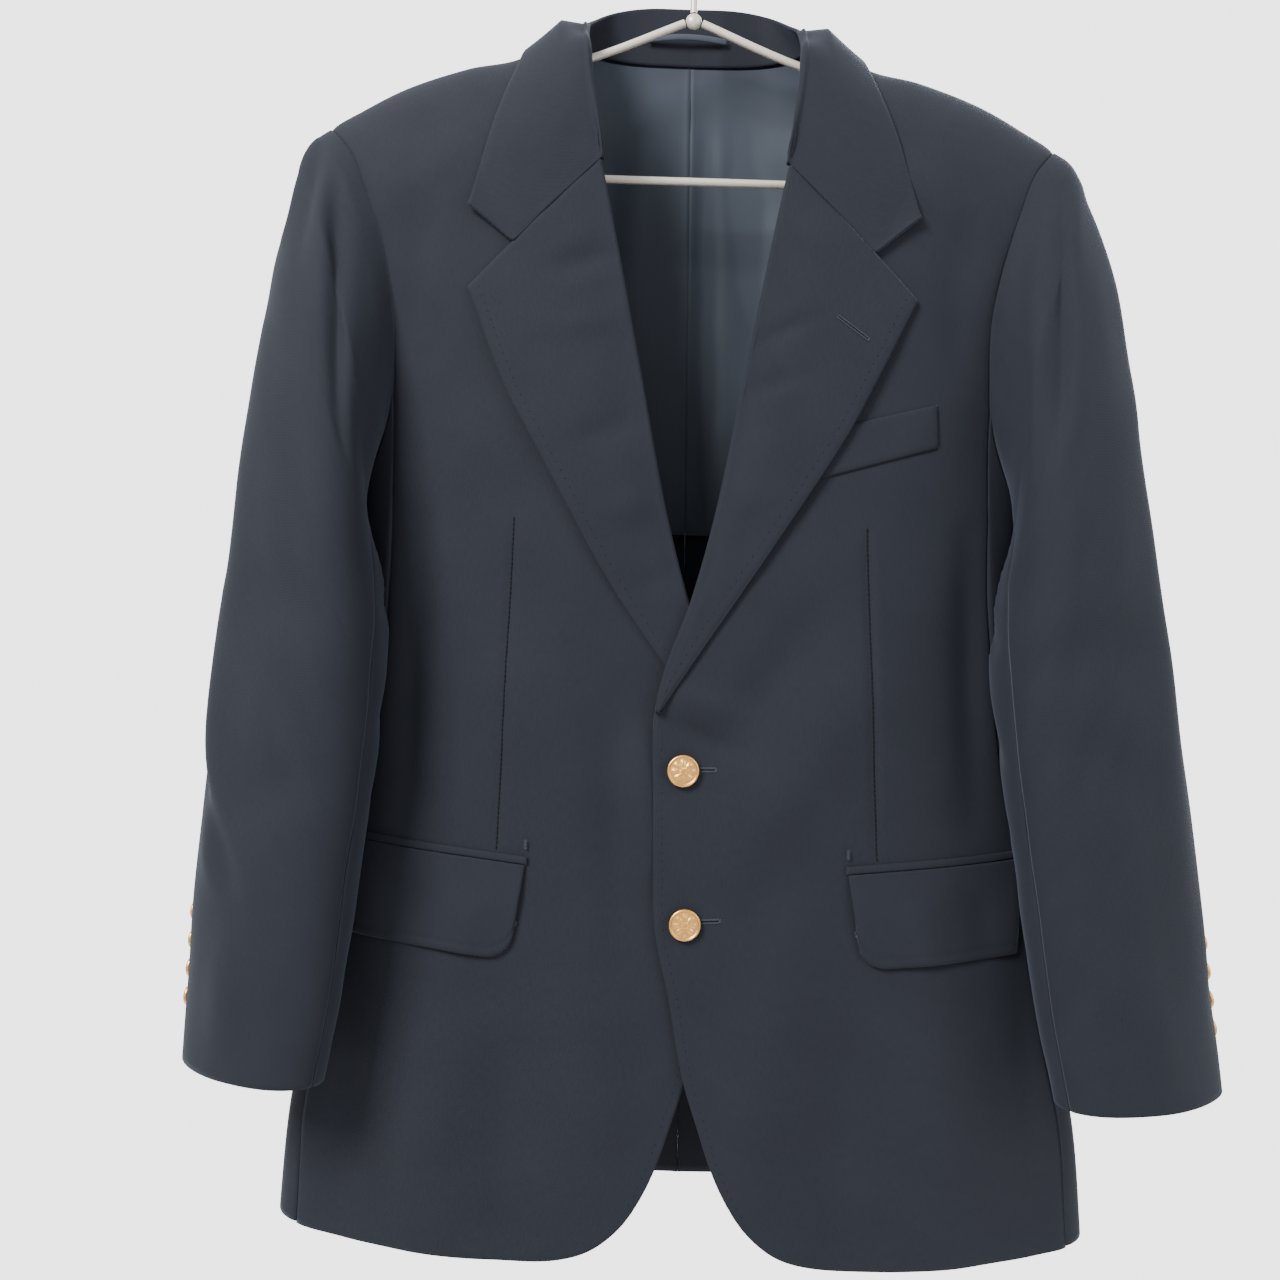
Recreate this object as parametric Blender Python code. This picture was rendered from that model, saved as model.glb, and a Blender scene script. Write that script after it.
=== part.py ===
"""A two-button tailored jacket with notch lapels, hanging on a slim wire hanger.

Metres, +Z up. The origin is at the inside top of the hanger's hook. The fronts face -Y and the
wearer's left is at +X. Every cloth piece is a wall between an outer and an inner skin.
"""
import math

import bmesh
import bpy
from mathutils import Matrix, Vector

# Cloth thicknesses and gaps
WOOL = 0.0016
LAPEL_CLOTH = 0.0022
COLLAR_CLOTH = 0.0022
STAND_CLOTH = 0.0014
LINING_CLOTH = 0.0010
SEAM_GAP = 0.0004
REST_GAP = 0.0004
HANG_TILT = 0.02            # the jacket's left shoulder hangs a little lower

# Body form: half depths, and the height over which the shoulders round off
FRONT_DEPTH = 0.055
BACK_DEPTH = 0.050
ROUND_POWER = 3.0
SHOULDER_ROUND = 0.10
RIDGE_CLEARANCE = 1.5       # what lies over the rounded shoulder stands this much further off
NECK_POINT_X = 0.085
SHOULDER_TIP_X = 0.234
BACK_NECK_Z = -0.1035
GORGE_Z = -0.207
BREAK_Z = -0.541
LAPEL_POINT_Z = -0.286
ARMPIT_Z = -0.405
SIDE_TOP_Z = -0.350
LINING_HEM_Z = -0.425

# height, half width of the body
BODY_WIDTH = [
    (-0.100, 0.252), (-0.170, 0.250), (-0.200, 0.245), (-0.300, 0.225), (-0.350, 0.2155),
    (-0.405, 0.212), (-0.475, 0.210), (-0.560, 0.213), (-0.650, 0.226), (-0.750, 0.245),
    (-0.800, 0.254), (-0.880, 0.259),
]
# height, share of the half width where the side panel starts
SIDE_SEAM = [(-0.350, 0.860), (-0.450, 0.885), (-0.600, 0.930), (-0.700, 0.935), (-0.880, 0.935)]
# distance from the centre, height of the shoulder ridge
SHOULDER_LINE = [
    (0.000, -0.045), (0.040, -0.055), (0.070, -0.085), (0.085, -0.106), (0.107, -0.1235),
    (0.145, -0.1330), (0.185, -0.1470), (0.212, -0.1610), (0.234, -0.1740), (0.250, -0.1900),
]
# height, distance from the centre of the armhole seam
ARMHOLE = [
    (-0.174, 0.234), (-0.197, 0.216), (-0.230, 0.202), (-0.260, 0.192), (-0.290, 0.1865),
    (-0.320, 0.1845), (-0.350, 0.1853), (-0.375, 0.1910), (-0.395, 0.2010), (-0.405, 0.2120),
]
# height, distance of the roll line and then the front edge beyond the centre
FRONT_EDGE = [
    (-0.106, 0.0850), (-0.126, 0.0760), (-0.158, 0.0690), (-0.185, 0.0630), (-0.207, 0.0570),
    (-0.257, 0.0465), (-0.331, 0.0320), (-0.420, 0.0145), (-0.474, 0.0000), (-0.517, -0.0155),
    (-0.541, -0.0205), (-0.592, -0.0210), (-0.631, -0.0205), (-0.673, -0.0190), (-0.716, -0.0100),
    (-0.764, -0.0010), (-0.791, 0.0075), (-0.819, 0.0170), (-0.835, 0.0245), (-0.846, 0.0310),
]
# distance from the centre, height of the front hem
FRONT_HEM = [
    (0.031, -0.8460), (0.037, -0.8540), (0.053, -0.8680), (0.071, -0.8750), (0.120, -0.8780),
    (0.200, -0.8720), (0.260, -0.8680),
]
BACK_HEM_Z = -0.862
SIDE_HEM_Z = -0.868
# height, distance of the lapel's outer edge on the over and on the under front
LAPEL_EDGE = {
    1: [(-0.286, 0.1365), (-0.351, 0.1040), (-0.369, 0.0945), (-0.442, 0.0480), (-0.517, -0.0020),
        (-0.541, -0.0175)],
    -1: [(-0.286, 0.1375), (-0.354, 0.1100), (-0.372, 0.1000), (-0.412, 0.0780), (-0.460, 0.0510),
         (-0.512, 0.0150), (-0.541, -0.0080)],
}
# station along the collar from the centre back, then x, y, z of its fold
COLLAR_FOLD = [
    (0.00, 0.000, 0.0470, -0.067), (0.12, 0.030, 0.0455, -0.067), (0.25, 0.055, 0.0370, -0.069),
    (0.36, 0.067, 0.0190, -0.080), (0.46, 0.071, -0.0020, -0.093), (0.58, 0.070, -0.0330, -0.122),
    (0.75, 0.066, -0.0530, -0.165), (1.00, 0.057, -0.0570, -0.2062),
]
# station along the collar, then x, y, z of the leaf's outer edge
COLLAR_RIM = [
    (0.00, 0.000, 0.0530, -0.1130), (0.12, 0.045, 0.0530, -0.1140), (0.25, 0.082, 0.0450, -0.1160),
    (0.36, 0.100, 0.0280, -0.1170), (0.46, 0.108, 0.0020, -0.1180), (0.58, 0.110, -0.0260, -0.1420),
    (0.75, 0.121, -0.0490, -0.1760), (1.00, 0.137, -0.0575, -0.2350),
]
NOTCH = (0.110, -0.2585)
# station along the collar, then x, z of the stand's lower edge
STAND_FOOT = [
    (0.00, 0.000, -0.1030), (0.12, 0.035, -0.1030), (0.25, 0.064, -0.1030), (0.36, 0.078, -0.1032),
    (0.46, 0.0825, -0.1052), (0.58, 0.0745, -0.1240),
]
# outer z, outer x, inner z, inner x, centre y, half depth, skew, inward bow of a sleeve ring
SLEEVE_RINGS = [
    (-0.208, 0.2490, -0.434, 0.1985, -0.018, 0.060, 0.010, 0.020),
    (-0.267, 0.2630, -0.476, 0.1860, -0.033, 0.060, 0.016, 0.008),
    (-0.354, 0.2745, -0.523, 0.1830, -0.045, 0.056, 0.020, 0.000),
    (-0.452, 0.2860, -0.582, 0.1880, -0.052, 0.050, 0.020, 0.000),
    (-0.557, 0.3000, -0.645, 0.1965, -0.055, 0.045, 0.020, 0.000),
    (-0.662, 0.3117, -0.709, 0.2075, -0.057, 0.041, 0.018, 0.000),
    (-0.759, 0.3192, -0.7535, 0.2190, -0.060, 0.037, 0.016, 0.000),
]
SLEEVE_LEAN = {1: (0.010, 0.002), -1: (-0.012, -0.003)}
# how far a sleeve stands off the body, at its head and lower down
SLEEVE_CLEAR_TOP = 0.0053
SLEEVE_CLEAR = 0.0065

# Pockets
FLAP_INNER_X = 0.098
FLAP_OUTER_X = 0.206
FLAP_TOP_Z = -0.6365
FLAP_SLOPE = 0.095
FLAP_DEPTH = 0.058
FLAP_CORNER = 0.020
JET_HEIGHT = 0.0050
WELT_CORNERS = ((0.062, -0.3720), (0.150, -0.3480), (0.1515, -0.3745), (0.062, -0.4010))

# Buttons
BUTTON_RADIUS = 0.0100
BUTTON_THICK = 0.0042
BUTTON_PLACES = ((-0.003, -0.576), (-0.001, -0.669))
CUFF_BUTTON_RADIUS = 0.0072
CUFF_BUTTON_THICK = 0.0036
CUFF_BUTTON_STEP = 0.0174
CUFF_BUTTON_FIRST_Z = -0.6755
CUFF_BUTTON_COUNT = 4

# Hanger
HOOK_INNER_RADIUS = 0.018
WIRE_RADIUS = 0.0022
ARM_RADIUS = 0.0026
JOINT_Z = -0.095
JOINT_RADIUS = 0.0052
BAR_Z = -0.199
# distance from the joint, height of an arm, which rises to bear under the shoulder
ARM_LINE = [
    (0.0058, -0.0962), (0.064, -0.1200), (0.110, -0.1330), (0.150, -0.1395), (0.170, -0.1490),
    (0.184, -0.1570),
]

COLOURS = {
    "wool": ((0.030, 0.036, 0.052), 0.85, 0.0),
    "lining": ((0.050, 0.068, 0.092), 0.55, 0.0),
    "gilt": ((0.74, 0.46, 0.20), 0.35, 1.0),
    "wire": ((0.52, 0.47, 0.41), 0.40, 0.3),
}


def clear_scene():
    for item in list(bpy.data.objects):
        bpy.data.objects.remove(item, do_unlink=True)


def material(name):
    found = bpy.data.materials.get(name)
    if found:
        return found
    colour, rough, metal = COLOURS[name]
    made = bpy.data.materials.new(name)
    made.use_nodes = True
    shader = made.node_tree.nodes["Principled BSDF"]
    shader.inputs["Base Color"].default_value = (*colour, 1.0)
    shader.inputs["Roughness"].default_value = rough
    shader.inputs["Metallic"].default_value = metal
    return made


def read_table(table, at, column=1):
    """Read a column of a table at one value of its first column, along a smooth curve."""
    rows = table if table[0][0] < table[-1][0] else table[::-1]
    if at <= rows[0][0]:
        return rows[0][column]
    if at >= rows[-1][0]:
        return rows[-1][column]
    k = 0
    while rows[k + 1][0] < at:
        k += 1
    x0, x1 = rows[k][0], rows[k + 1][0]
    y0, y1 = rows[k][column], rows[k + 1][column]
    step = x1 - x0
    chord = (y1 - y0) / step
    before = chord if k == 0 else (y0 - rows[k - 1][column]) / (x0 - rows[k - 1][0])
    after = chord if k + 2 == len(rows) else (rows[k + 2][column] - y1) / (rows[k + 2][0] - x1)
    start = (before + chord) / 2 if before * chord > 0 else 0.0
    end = (after + chord) / 2 if after * chord > 0 else 0.0
    if k == 0:
        start = chord
    if k + 2 == len(rows):
        end = chord
    t = (at - x0) / step
    return (y0 * (2 * t**3 - 3 * t**2 + 1) + y1 * (3 * t**2 - 2 * t**3)
            + step * start * (t**3 - 2 * t**2 + t) + step * end * (t**3 - t**2))


def lerp(a, b, t):
    return a + (b - a) * t


def smooth(t):
    t = min(max(t, 0.0), 1.0)
    return t * t * (3 - 2 * t)


def half_width(z):
    return read_table(BODY_WIDTH, z)


def shoulder_share(x, z):
    """How far the shoulders have rounded out: 0 on the ridge, 1 well below it."""
    drop = (read_table(SHOULDER_LINE, abs(x)) - z) / SHOULDER_ROUND
    drop = min(max(drop, 0.0), 1.0)
    return math.sqrt(max(0.0, 1 - (1 - drop) ** 2))


def body_y(x, z, back=False):
    """Depth of the body's outer skin at a place seen from the front."""
    reach = min(abs(x) / half_width(z), 1.0)
    depth = (1 - reach**ROUND_POWER) ** (1 / ROUND_POWER) * shoulder_share(x, z)
    return BACK_DEPTH * depth if back else -FRONT_DEPTH * depth


def lap_shift(x, z, side):
    """The over front stands proud near the edge, and the under front lies behind it."""
    near = 1 - smooth((x - 0.022) / 0.060)
    low = smooth((-0.36 - z) / 0.10)
    if side > 0:
        return -0.0006 * near * low
    return lerp(0.0052, 0.0026, smooth((-0.545 - z) / 0.05)) * near * low


def skin_normal(x, z, back=False):
    step = 0.001
    dx = (body_y(x + step, z, back) - body_y(x - step, z, back)) / (2 * step)
    dz = (body_y(x, z + step, back) - body_y(x, z - step, back)) / (2 * step)
    return Vector((-dx, 1.0, -dz) if back else (dx, -1.0, dz)).normalized()


def front_point(x, z, side, out=0.0):
    """A place on a front, x measured from the centre towards that front's own side."""
    y = body_y(x, z) + lap_shift(x, z, side)
    place = Vector((x, y, z)) + skin_normal(x, z) * out
    return Vector((place.x * side, place.y, place.z))


def grid_normals(rows):
    last_row = len(rows) - 1
    last_col = len(rows[0]) - 1
    normals = []
    for i, row in enumerate(rows):
        line = []
        for j in range(len(row)):
            across = row[min(j + 1, last_col)] - row[max(j - 1, 0)]
            down = rows[min(i + 1, last_row)][j] - rows[max(i - 1, 0)][j]
            line.append(across.cross(down).normalized())
        normals.append(line)
    return normals


def hang(point):
    return Vector((point.x, point.y, point.z - HANG_TILT * point.x))


def add_object(name, bm, look, sharp=math.radians(40)):
    bmesh.ops.recalc_face_normals(bm, faces=bm.faces)
    mesh = bpy.data.meshes.new(name)
    bm.to_mesh(mesh)
    bm.free()
    mesh.materials.append(material(look))
    mesh.shade_smooth()
    mesh.set_sharp_from_angle(angle=sharp)
    made = bpy.data.objects.new(name, mesh)
    bpy.context.scene.collection.objects.link(made)
    return made


def wall(name, rows, thick, look, outward, normals=None):
    """A closed cloth wall under a grid of outer points. outward(point) hints the outer side."""
    normals = normals or grid_normals(rows)
    mid = rows[len(rows) // 2][len(rows[0]) // 2]
    sign = 1 if normals[len(rows) // 2][len(rows[0]) // 2].dot(outward(mid)) > 0 else -1
    bm = bmesh.new()
    outer = []
    inner = []
    for row, line in zip(rows, normals):
        outer.append([bm.verts.new(hang(p)) for p in row])
        inner.append([bm.verts.new(hang(p - n * thick * sign)) for p, n in zip(row, line)])
    last_row = len(rows) - 1
    last_col = len(rows[0]) - 1
    for i in range(last_row):
        for j in range(last_col):
            for skin in (outer, inner):
                corners = (skin[i][j], skin[i][j + 1], skin[i + 1][j + 1], skin[i + 1][j])
                bm.faces.new(corners if skin is outer else corners[::-1])
        for j in (0, last_col):
            bm.faces.new((outer[i][j], outer[i + 1][j], inner[i + 1][j], inner[i][j]))
    for j in range(last_col):
        for i in (0, last_row):
            bm.faces.new((outer[i][j], outer[i][j + 1], inner[i][j + 1], inner[i][j]))
    bmesh.ops.triangulate(bm, faces=bm.faces)
    return add_object(name, bm, look)


def row_shares(top_rows, mid_rows, low_rows, top_share=0.135, mid_share=0.40):
    """Rows bunched where the shoulder rounds over, then closer beside the armhole than below."""
    shares = [top_share * (1 - math.cos(math.pi / 2 * i / top_rows)) for i in range(top_rows)]
    shares += [lerp(top_share, mid_share, i / mid_rows) for i in range(mid_rows)]
    return shares + [lerp(mid_share, 1.0, i / low_rows) for i in range(low_rows + 1)]


def outer_limit(z):
    if z > SIDE_TOP_Z:
        return read_table(ARMHOLE, z)
    return read_table(SIDE_SEAM, z) * half_width(z)


def front_outward(point):
    return Vector((0, -1, 0))


def back_outward(point):
    return Vector((0, 1, 0))


def make_front(side):
    rows = []
    for share in row_shares(6, 9, 8):
        inner_z = lerp(read_table(SHOULDER_LINE, NECK_POINT_X), FRONT_HEM[0][1], share)
        outer_z = lerp(read_table(SHOULDER_LINE, SHOULDER_TIP_X), SIDE_HEM_Z, share)
        inner_x = read_table(FRONT_EDGE, inner_z)
        outer_x = outer_limit(outer_z) - SEAM_GAP / 2
        row = []
        for j in range(15):
            u = j / 14
            x = lerp(inner_x, outer_x, u)
            top = read_table(SHOULDER_LINE, lerp(NECK_POINT_X, SHOULDER_TIP_X, u))
            low = read_table(FRONT_HEM, lerp(FRONT_HEM[0][0], outer_x, u))
            place = front_point(x, lerp(top, low, share), side)
            ridge_gap = SEAM_GAP * (1 - shoulder_share(x, place.z))
            row.append(place + Vector((0, -ridge_gap, 0)))
        rows.append(row)
    name = "front_left_over" if side > 0 else "front_right_under"
    return wall(name, rows, WOOL, "wool", front_outward)


def make_back(side):
    rows = []
    for share in row_shares(6, 9, 8):
        outer_z = lerp(read_table(SHOULDER_LINE, SHOULDER_TIP_X), BACK_HEM_Z, share)
        outer_x = outer_limit(outer_z) - SEAM_GAP / 2
        row = []
        for j in range(12):
            u = j / 11
            x = lerp(SEAM_GAP / 2, outer_x, u)
            top_x = lerp(0.0, SHOULDER_TIP_X, u)
            top = min(read_table(SHOULDER_LINE, top_x), BACK_NECK_Z)
            z = lerp(top, BACK_HEM_Z, share)
            ridge_gap = SEAM_GAP * (1 - shoulder_share(x, z))
            row.append(Vector((x * side, body_y(x, z, True) + ridge_gap, z)))
        rows.append(row)
    name = "back_left" if side > 0 else "back_right"
    return wall(name, rows, WOOL, "wool", back_outward)


def skin_angle(x, z):
    """The angle round the body's section from the centre front, for a place seen from the front."""
    return math.asin(min(x / half_width(z), 1.0) ** (ROUND_POWER / 2))


def section_place(angle, z):
    """A place on the body's section: angle 0 at the centre front and pi at the centre back."""
    x = half_width(z) * math.sin(angle) ** (2 / ROUND_POWER)
    depth = math.copysign(abs(math.cos(angle)) ** (2 / ROUND_POWER), -math.cos(angle))
    y = depth * (FRONT_DEPTH if depth < 0 else BACK_DEPTH)
    return x, y


def make_side(side):
    margin = 0.0085
    swing = math.acos((2 * (SIDE_TOP_Z - ARMPIT_Z) / (ARMHOLE[0][0] - ARMPIT_Z)) - 1)
    rows = []
    for i in range(14):
        share = i / 13
        row = []
        for j in range(9):
            turn = j / 8
            top = armhole_place(lerp(-swing, swing - math.tau, turn))
            z = lerp(top.z - SEAM_GAP, lerp(SIDE_HEM_Z, BACK_HEM_Z, turn), share)
            seam = math.asin(read_table(SIDE_SEAM, z) ** (ROUND_POWER / 2)) + margin
            start = skin_angle(top.x, top.z)
            start = start if turn <= 0.5 else math.pi - start
            start = min(max(start, seam), math.pi - seam)
            angle = lerp(start, lerp(seam, math.pi - seam, turn), smooth(share * 3))
            x, y = section_place(angle, z)
            row.append(Vector((x * side, y, z)))
        rows.append(row)
    name = "side_panel_left" if side > 0 else "side_panel_right"
    return wall(name, rows, WOOL, "wool", lambda p: Vector((side, 0, 0)))


def push_clear(place, clear):
    """Move a sleeve's place out of the body, so the sleeve lies pressed along its side."""
    wide = half_width(min(place.z, ARMPIT_Z + 0.02)) + clear
    deep = (FRONT_DEPTH if place.y < 0 else BACK_DEPTH) + clear
    inside = (abs(place.x) / wide) ** ROUND_POWER + (abs(place.y) / deep) ** ROUND_POWER
    if inside >= 1:
        return place
    grow = inside ** (-1 / ROUND_POWER)
    return Vector((place.x * grow, place.y * grow, place.z))


def armhole_place(angle):
    """The armhole seam: angle 0 at the shoulder, pi under the arm, front at negative sine."""
    top = ARMHOLE[0][0]
    z = lerp(ARMPIT_Z, top, (1 + math.cos(angle)) / 2)
    x = read_table(ARMHOLE, z)
    return Vector((x, body_y(x, z, math.sin(angle) > 0), z))


def ring_place(station, angle):
    """A place on the sleeve: station 0 at the first ring below the armhole."""
    table = [(float(i), *row) for i, row in enumerate(SLEEVE_RINGS)]
    out_z, out_x, in_z, in_x, mid_y, deep, skew, bow = (
        read_table(table, station, column) for column in range(1, 9))
    c, s = math.cos(angle), math.sin(angle)
    x = (out_x + in_x) / 2 + (out_x - in_x) / 2 * c - bow * max(0.0, -s) ** 2
    z = (out_z + in_z) / 2 + (out_z - in_z) / 2 * c
    y = mid_y + deep * s + skew * c
    return Vector((x, y, z))


def sleeve_place(share, angle, side):
    """A place on the sleeve's outer skin: share 0 at the armhole, 1 at the cuff."""
    station = share * len(SLEEVE_RINGS) - 1
    if station < 0:
        seam = armhole_place(angle)
        away = Vector((1.0, 0.0, 0.4 if math.cos(angle) < 0 else 0.1)).normalized()
        seam = seam + away * SEAM_GAP * 1.8
        first = push_clear(ring_place(0.0, angle), SLEEVE_CLEAR_TOP)
        w = station + 1
        place = seam.lerp(first, w)
        if place.z < SIDE_TOP_Z + 0.01:
            place = push_clear(place, 0.0008 + 0.0045 * w)
        puff = 0.004 * math.sin(math.pi * min(w, 1.0)) * max(0.0, math.cos(angle))
        place = place + Vector((puff, 0, puff))
    else:
        place = ring_place(station, angle)
        place = push_clear(place, lerp(SLEEVE_CLEAR_TOP, SLEEVE_CLEAR, smooth(station)))
        fall = smooth(station / (len(SLEEVE_RINGS) - 1)) * station / (len(SLEEVE_RINGS) - 1)
        lean = lerp(SLEEVE_LEAN[side][1], SLEEVE_LEAN[side][0], (1 + math.cos(angle)) / 2)
        place = place + Vector((lean * fall, 0, 0))
    return Vector((place.x * side, place.y, place.z))


def sleeve_normal(share, angle, side):
    across = sleeve_place(share, angle + 0.05, side) - sleeve_place(share, angle - 0.05, side)
    down = sleeve_place(min(share + 0.02, 1), angle, side) - sleeve_place(max(share - 0.02, 0), angle, side)
    return across.cross(down).normalized()


def make_sleeve(side):
    spans = {
        "upper_sleeve": (math.radians(-140), math.radians(75), 16),
        "under_sleeve": (math.radians(75), math.radians(220), 11),
    }
    for part, (start, end, count) in spans.items():
        rows = []
        normals = []
        for i in range(14):
            share = (i / 13) ** 1.1
            margin = 0.0050
            row = []
            line = []
            for j in range(count):
                angle = lerp(start + margin, end - margin, j / (count - 1))
                row.append(sleeve_place(share, angle, side))
                line.append(sleeve_normal(share, angle, side))
            rows.append(row)
            normals.append(line)
        name = part + ("_left" if side > 0 else "_right")
        middle = (start + end) / 2
        hint = Vector((math.cos(middle) * side, math.sin(middle), 0))
        wall(name, rows, WOOL, "wool", lambda p: hint, normals)


def lapel_out(u, v):
    """How far a lapel's outer skin stands off its front."""
    along = lerp(0.30, 1.0, smooth(v / 0.2)) * (1 - smooth((v - 0.35) / 0.5))
    stand_off = 0.0026 * smooth(u / 0.45) * along
    return REST_GAP + LAPEL_CLOTH + stand_off + 0.0006 * smooth(u / 0.3)


def make_lapel(side):
    rows = []
    for i in range(15):
        v = i / 14
        inner_z = lerp(GORGE_Z - SEAM_GAP, BREAK_Z, v)
        outer_z = lerp(LAPEL_POINT_Z, BREAK_Z, v)
        inner_x = read_table(FRONT_EDGE, inner_z)
        outer_x = max(read_table(LAPEL_EDGE[side], outer_z), inner_x + 0.003)
        row = []
        for j in range(8):
            u = j / 7
            x = lerp(inner_x, outer_x, u)
            z = lerp(inner_z, outer_z, u)
            row.append(front_point(x, z, side, lapel_out(u, v)))
        rows.append(row)
    name = "lapel_left" if side > 0 else "lapel_right"
    return wall(name, rows, LAPEL_CLOTH, "wool", front_outward)


def table_place(table, station):
    x, y, z = (read_table(table, station, column) for column in (1, 2, 3))
    return Vector((x, y, z))


def clear_front(place, out):
    """Lift a place off the panels and the shoulder ridge to at least a distance of out."""
    centre_z = read_table(SHOULDER_LINE, abs(place.x)) - SHOULDER_ROUND
    reach = (1 - min(abs(place.x) / half_width(place.z), 1.0) ** ROUND_POWER) ** (1 / ROUND_POWER)
    out = lerp(out, out * RIDGE_CLEARANCE, smooth((place.z - centre_z) / 0.04))
    deep = (BACK_DEPTH if place.y > 0 else FRONT_DEPTH) * reach + out
    high = SHOULDER_ROUND + out
    over = max(place.z - centre_z, 0.0) / high
    size = math.hypot(place.y / deep, over)
    if size >= 1:
        return place
    if over == 0:
        return Vector((place.x, math.copysign(deep, place.y), place.z))
    return Vector((place.x, place.y / size, centre_z + over * high / size))


def collar_end(u):
    """The collar's front end: the gorge seam to the notch, then the leaf's short edge."""
    turn = 0.66
    fold_x, fold_z = COLLAR_FOLD[-1][1], COLLAR_FOLD[-1][3]
    tip_x, tip_z = COLLAR_RIM[-1][1], COLLAR_RIM[-1][3]
    if u < turn:
        x = lerp(fold_x, NOTCH[0], u / turn)
        z = lerp(fold_z, NOTCH[1], u / turn)
    else:
        x = lerp(NOTCH[0], tip_x, (u - turn) / (1 - turn))
        z = lerp(NOTCH[1], tip_z, (u - turn) / (1 - turn))
    return x, z


def collar_place(station, u):
    fold = table_place(COLLAR_FOLD, station)
    rim = table_place(COLLAR_RIM, station)
    place = fold.lerp(rim, u)
    lift = 0.006 * math.sin(math.pi * u) * (1 - smooth((station - 0.45) / 0.2))
    place = place + Vector((lift * smooth(station / 0.3), lift * (1 - smooth(station / 0.4)), lift * 0.6))
    bend = max(0.0, (station - 0.60) / 0.40) ** 1.6
    x, z = collar_end(u)
    place = Vector((lerp(place.x, x, bend), place.y, lerp(place.z, z, bend)))
    return clear_front(place, COLLAR_CLOTH + REST_GAP + 0.0016 * math.sin(math.pi * u))


def make_collar_leaf():
    rows = []
    for i in range(-17, 18):
        station = abs(i) / 17
        row = []
        for j in range(8):
            place = collar_place(station, j / 7)
            row.append(Vector((math.copysign(place.x, i) if i else 0.0, place.y, place.z)))
        rows.append(row)
    return wall("collar_leaf", rows, COLLAR_CLOTH, "wool", back_outward)


def make_collar_stand():
    rows = []
    inset = COLLAR_CLOTH + REST_GAP
    for i in range(-14, 15):
        station = abs(i) / 14 * STAND_FOOT[-1][0]
        fold = table_place(COLLAR_FOLD, station)
        ahead = table_place(COLLAR_FOLD, station + 0.01) - table_place(COLLAR_FOLD, max(station - 0.01, 0))
        inward = Vector((ahead.y, -ahead.x, 0)).normalized()
        top = fold + inward * inset
        foot_x = read_table(STAND_FOOT, station, 1)
        foot_z = read_table(STAND_FOOT, station, 2)
        back = station < 0.46
        skin = body_y(foot_x, foot_z, back)
        foot = Vector((foot_x - 0.0010, skin - 0.0006 if back else skin + 0.0010, foot_z + 0.0008))
        row = []
        for j in range(5):
            place = top.lerp(foot, j / 4)
            row.append(Vector((math.copysign(place.x, i) if i else 0.0, place.y, place.z)))
        rows.append(row)
    return wall("collar_stand", rows, STAND_CLOTH, "wool", back_outward)


def make_lining(side):
    rows = []
    for share in row_shares(5, 4, 5, 0.22, 0.60):
        row = []
        for j in range(10):
            u = j / 9
            wide = lerp(0.205, 0.160, smooth(share * 1.6))
            x = lerp(SEAM_GAP / 2, wide, u)
            top = min(read_table(SHOULDER_LINE, x) - 0.012, BACK_NECK_Z - 0.003)
            z = lerp(top, LINING_HEM_Z, share)
            inside = WOOL + 0.0012 + 0.0040 * (1 - shoulder_share(x, z) ** 2)
            place = Vector((x, body_y(x, z, True), z)) - skin_normal(x, z, True) * inside
            row.append(Vector((place.x * side, place.y, place.z)))
        rows.append(row)
    name = "back_lining_left" if side > 0 else "back_lining_right"
    return wall(name, rows, LINING_CLOTH, "lining", back_outward)


def flap_top(x):
    return FLAP_TOP_Z + FLAP_SLOPE * (x - FLAP_INNER_X)


def make_pocket(side):
    tag = "_left" if side > 0 else "_right"
    jet_rows = []
    for i in range(3):
        row = []
        for j in range(13):
            x = lerp(FLAP_INNER_X - 0.001, FLAP_OUTER_X, j / 12)
            z = flap_top(x) + SEAM_GAP + JET_HEIGHT * (1 - i / 2)
            row.append(front_point(x, z, side, REST_GAP + 0.0010))
        jet_rows.append(row)
    wall("pocket_jet" + tag, jet_rows, 0.0010, "wool", front_outward)
    rows = []
    for i in range(9):
        v = i / 8
        row = []
        for j in range(14):
            u = j / 13
            x = lerp(FLAP_INNER_X, FLAP_OUTER_X, u)
            near = max(0.0, 1 - (x - FLAP_INNER_X) / FLAP_CORNER)
            depth = FLAP_DEPTH - FLAP_CORNER * (1 - math.sqrt(1 - near**2))
            z = flap_top(x) - depth * v
            x = x + 0.006 * v * (1 - u)
            row.append(front_point(x, z, side, REST_GAP + WOOL + 0.0014 * math.sin(math.pi * v * 0.8)))
        rows.append(row)
    wall("pocket_flap" + tag, rows, WOOL, "wool", front_outward)


def make_welt():
    (x0, z0), (x1, z1), (x2, z2), (x3, z3) = WELT_CORNERS
    rows = []
    for i in range(4):
        v = i / 3
        row = []
        for j in range(9):
            u = j / 8
            x = lerp(lerp(x0, x1, u), lerp(x3, x2, u), v)
            z = lerp(lerp(z0, z1, u), lerp(z3, z2, u), v)
            row.append(front_point(x, z, 1, REST_GAP + 0.0003 + 0.0010))
        rows.append(row)
    return wall("breast_welt", rows, 0.0010, "wool", front_outward)


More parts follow.
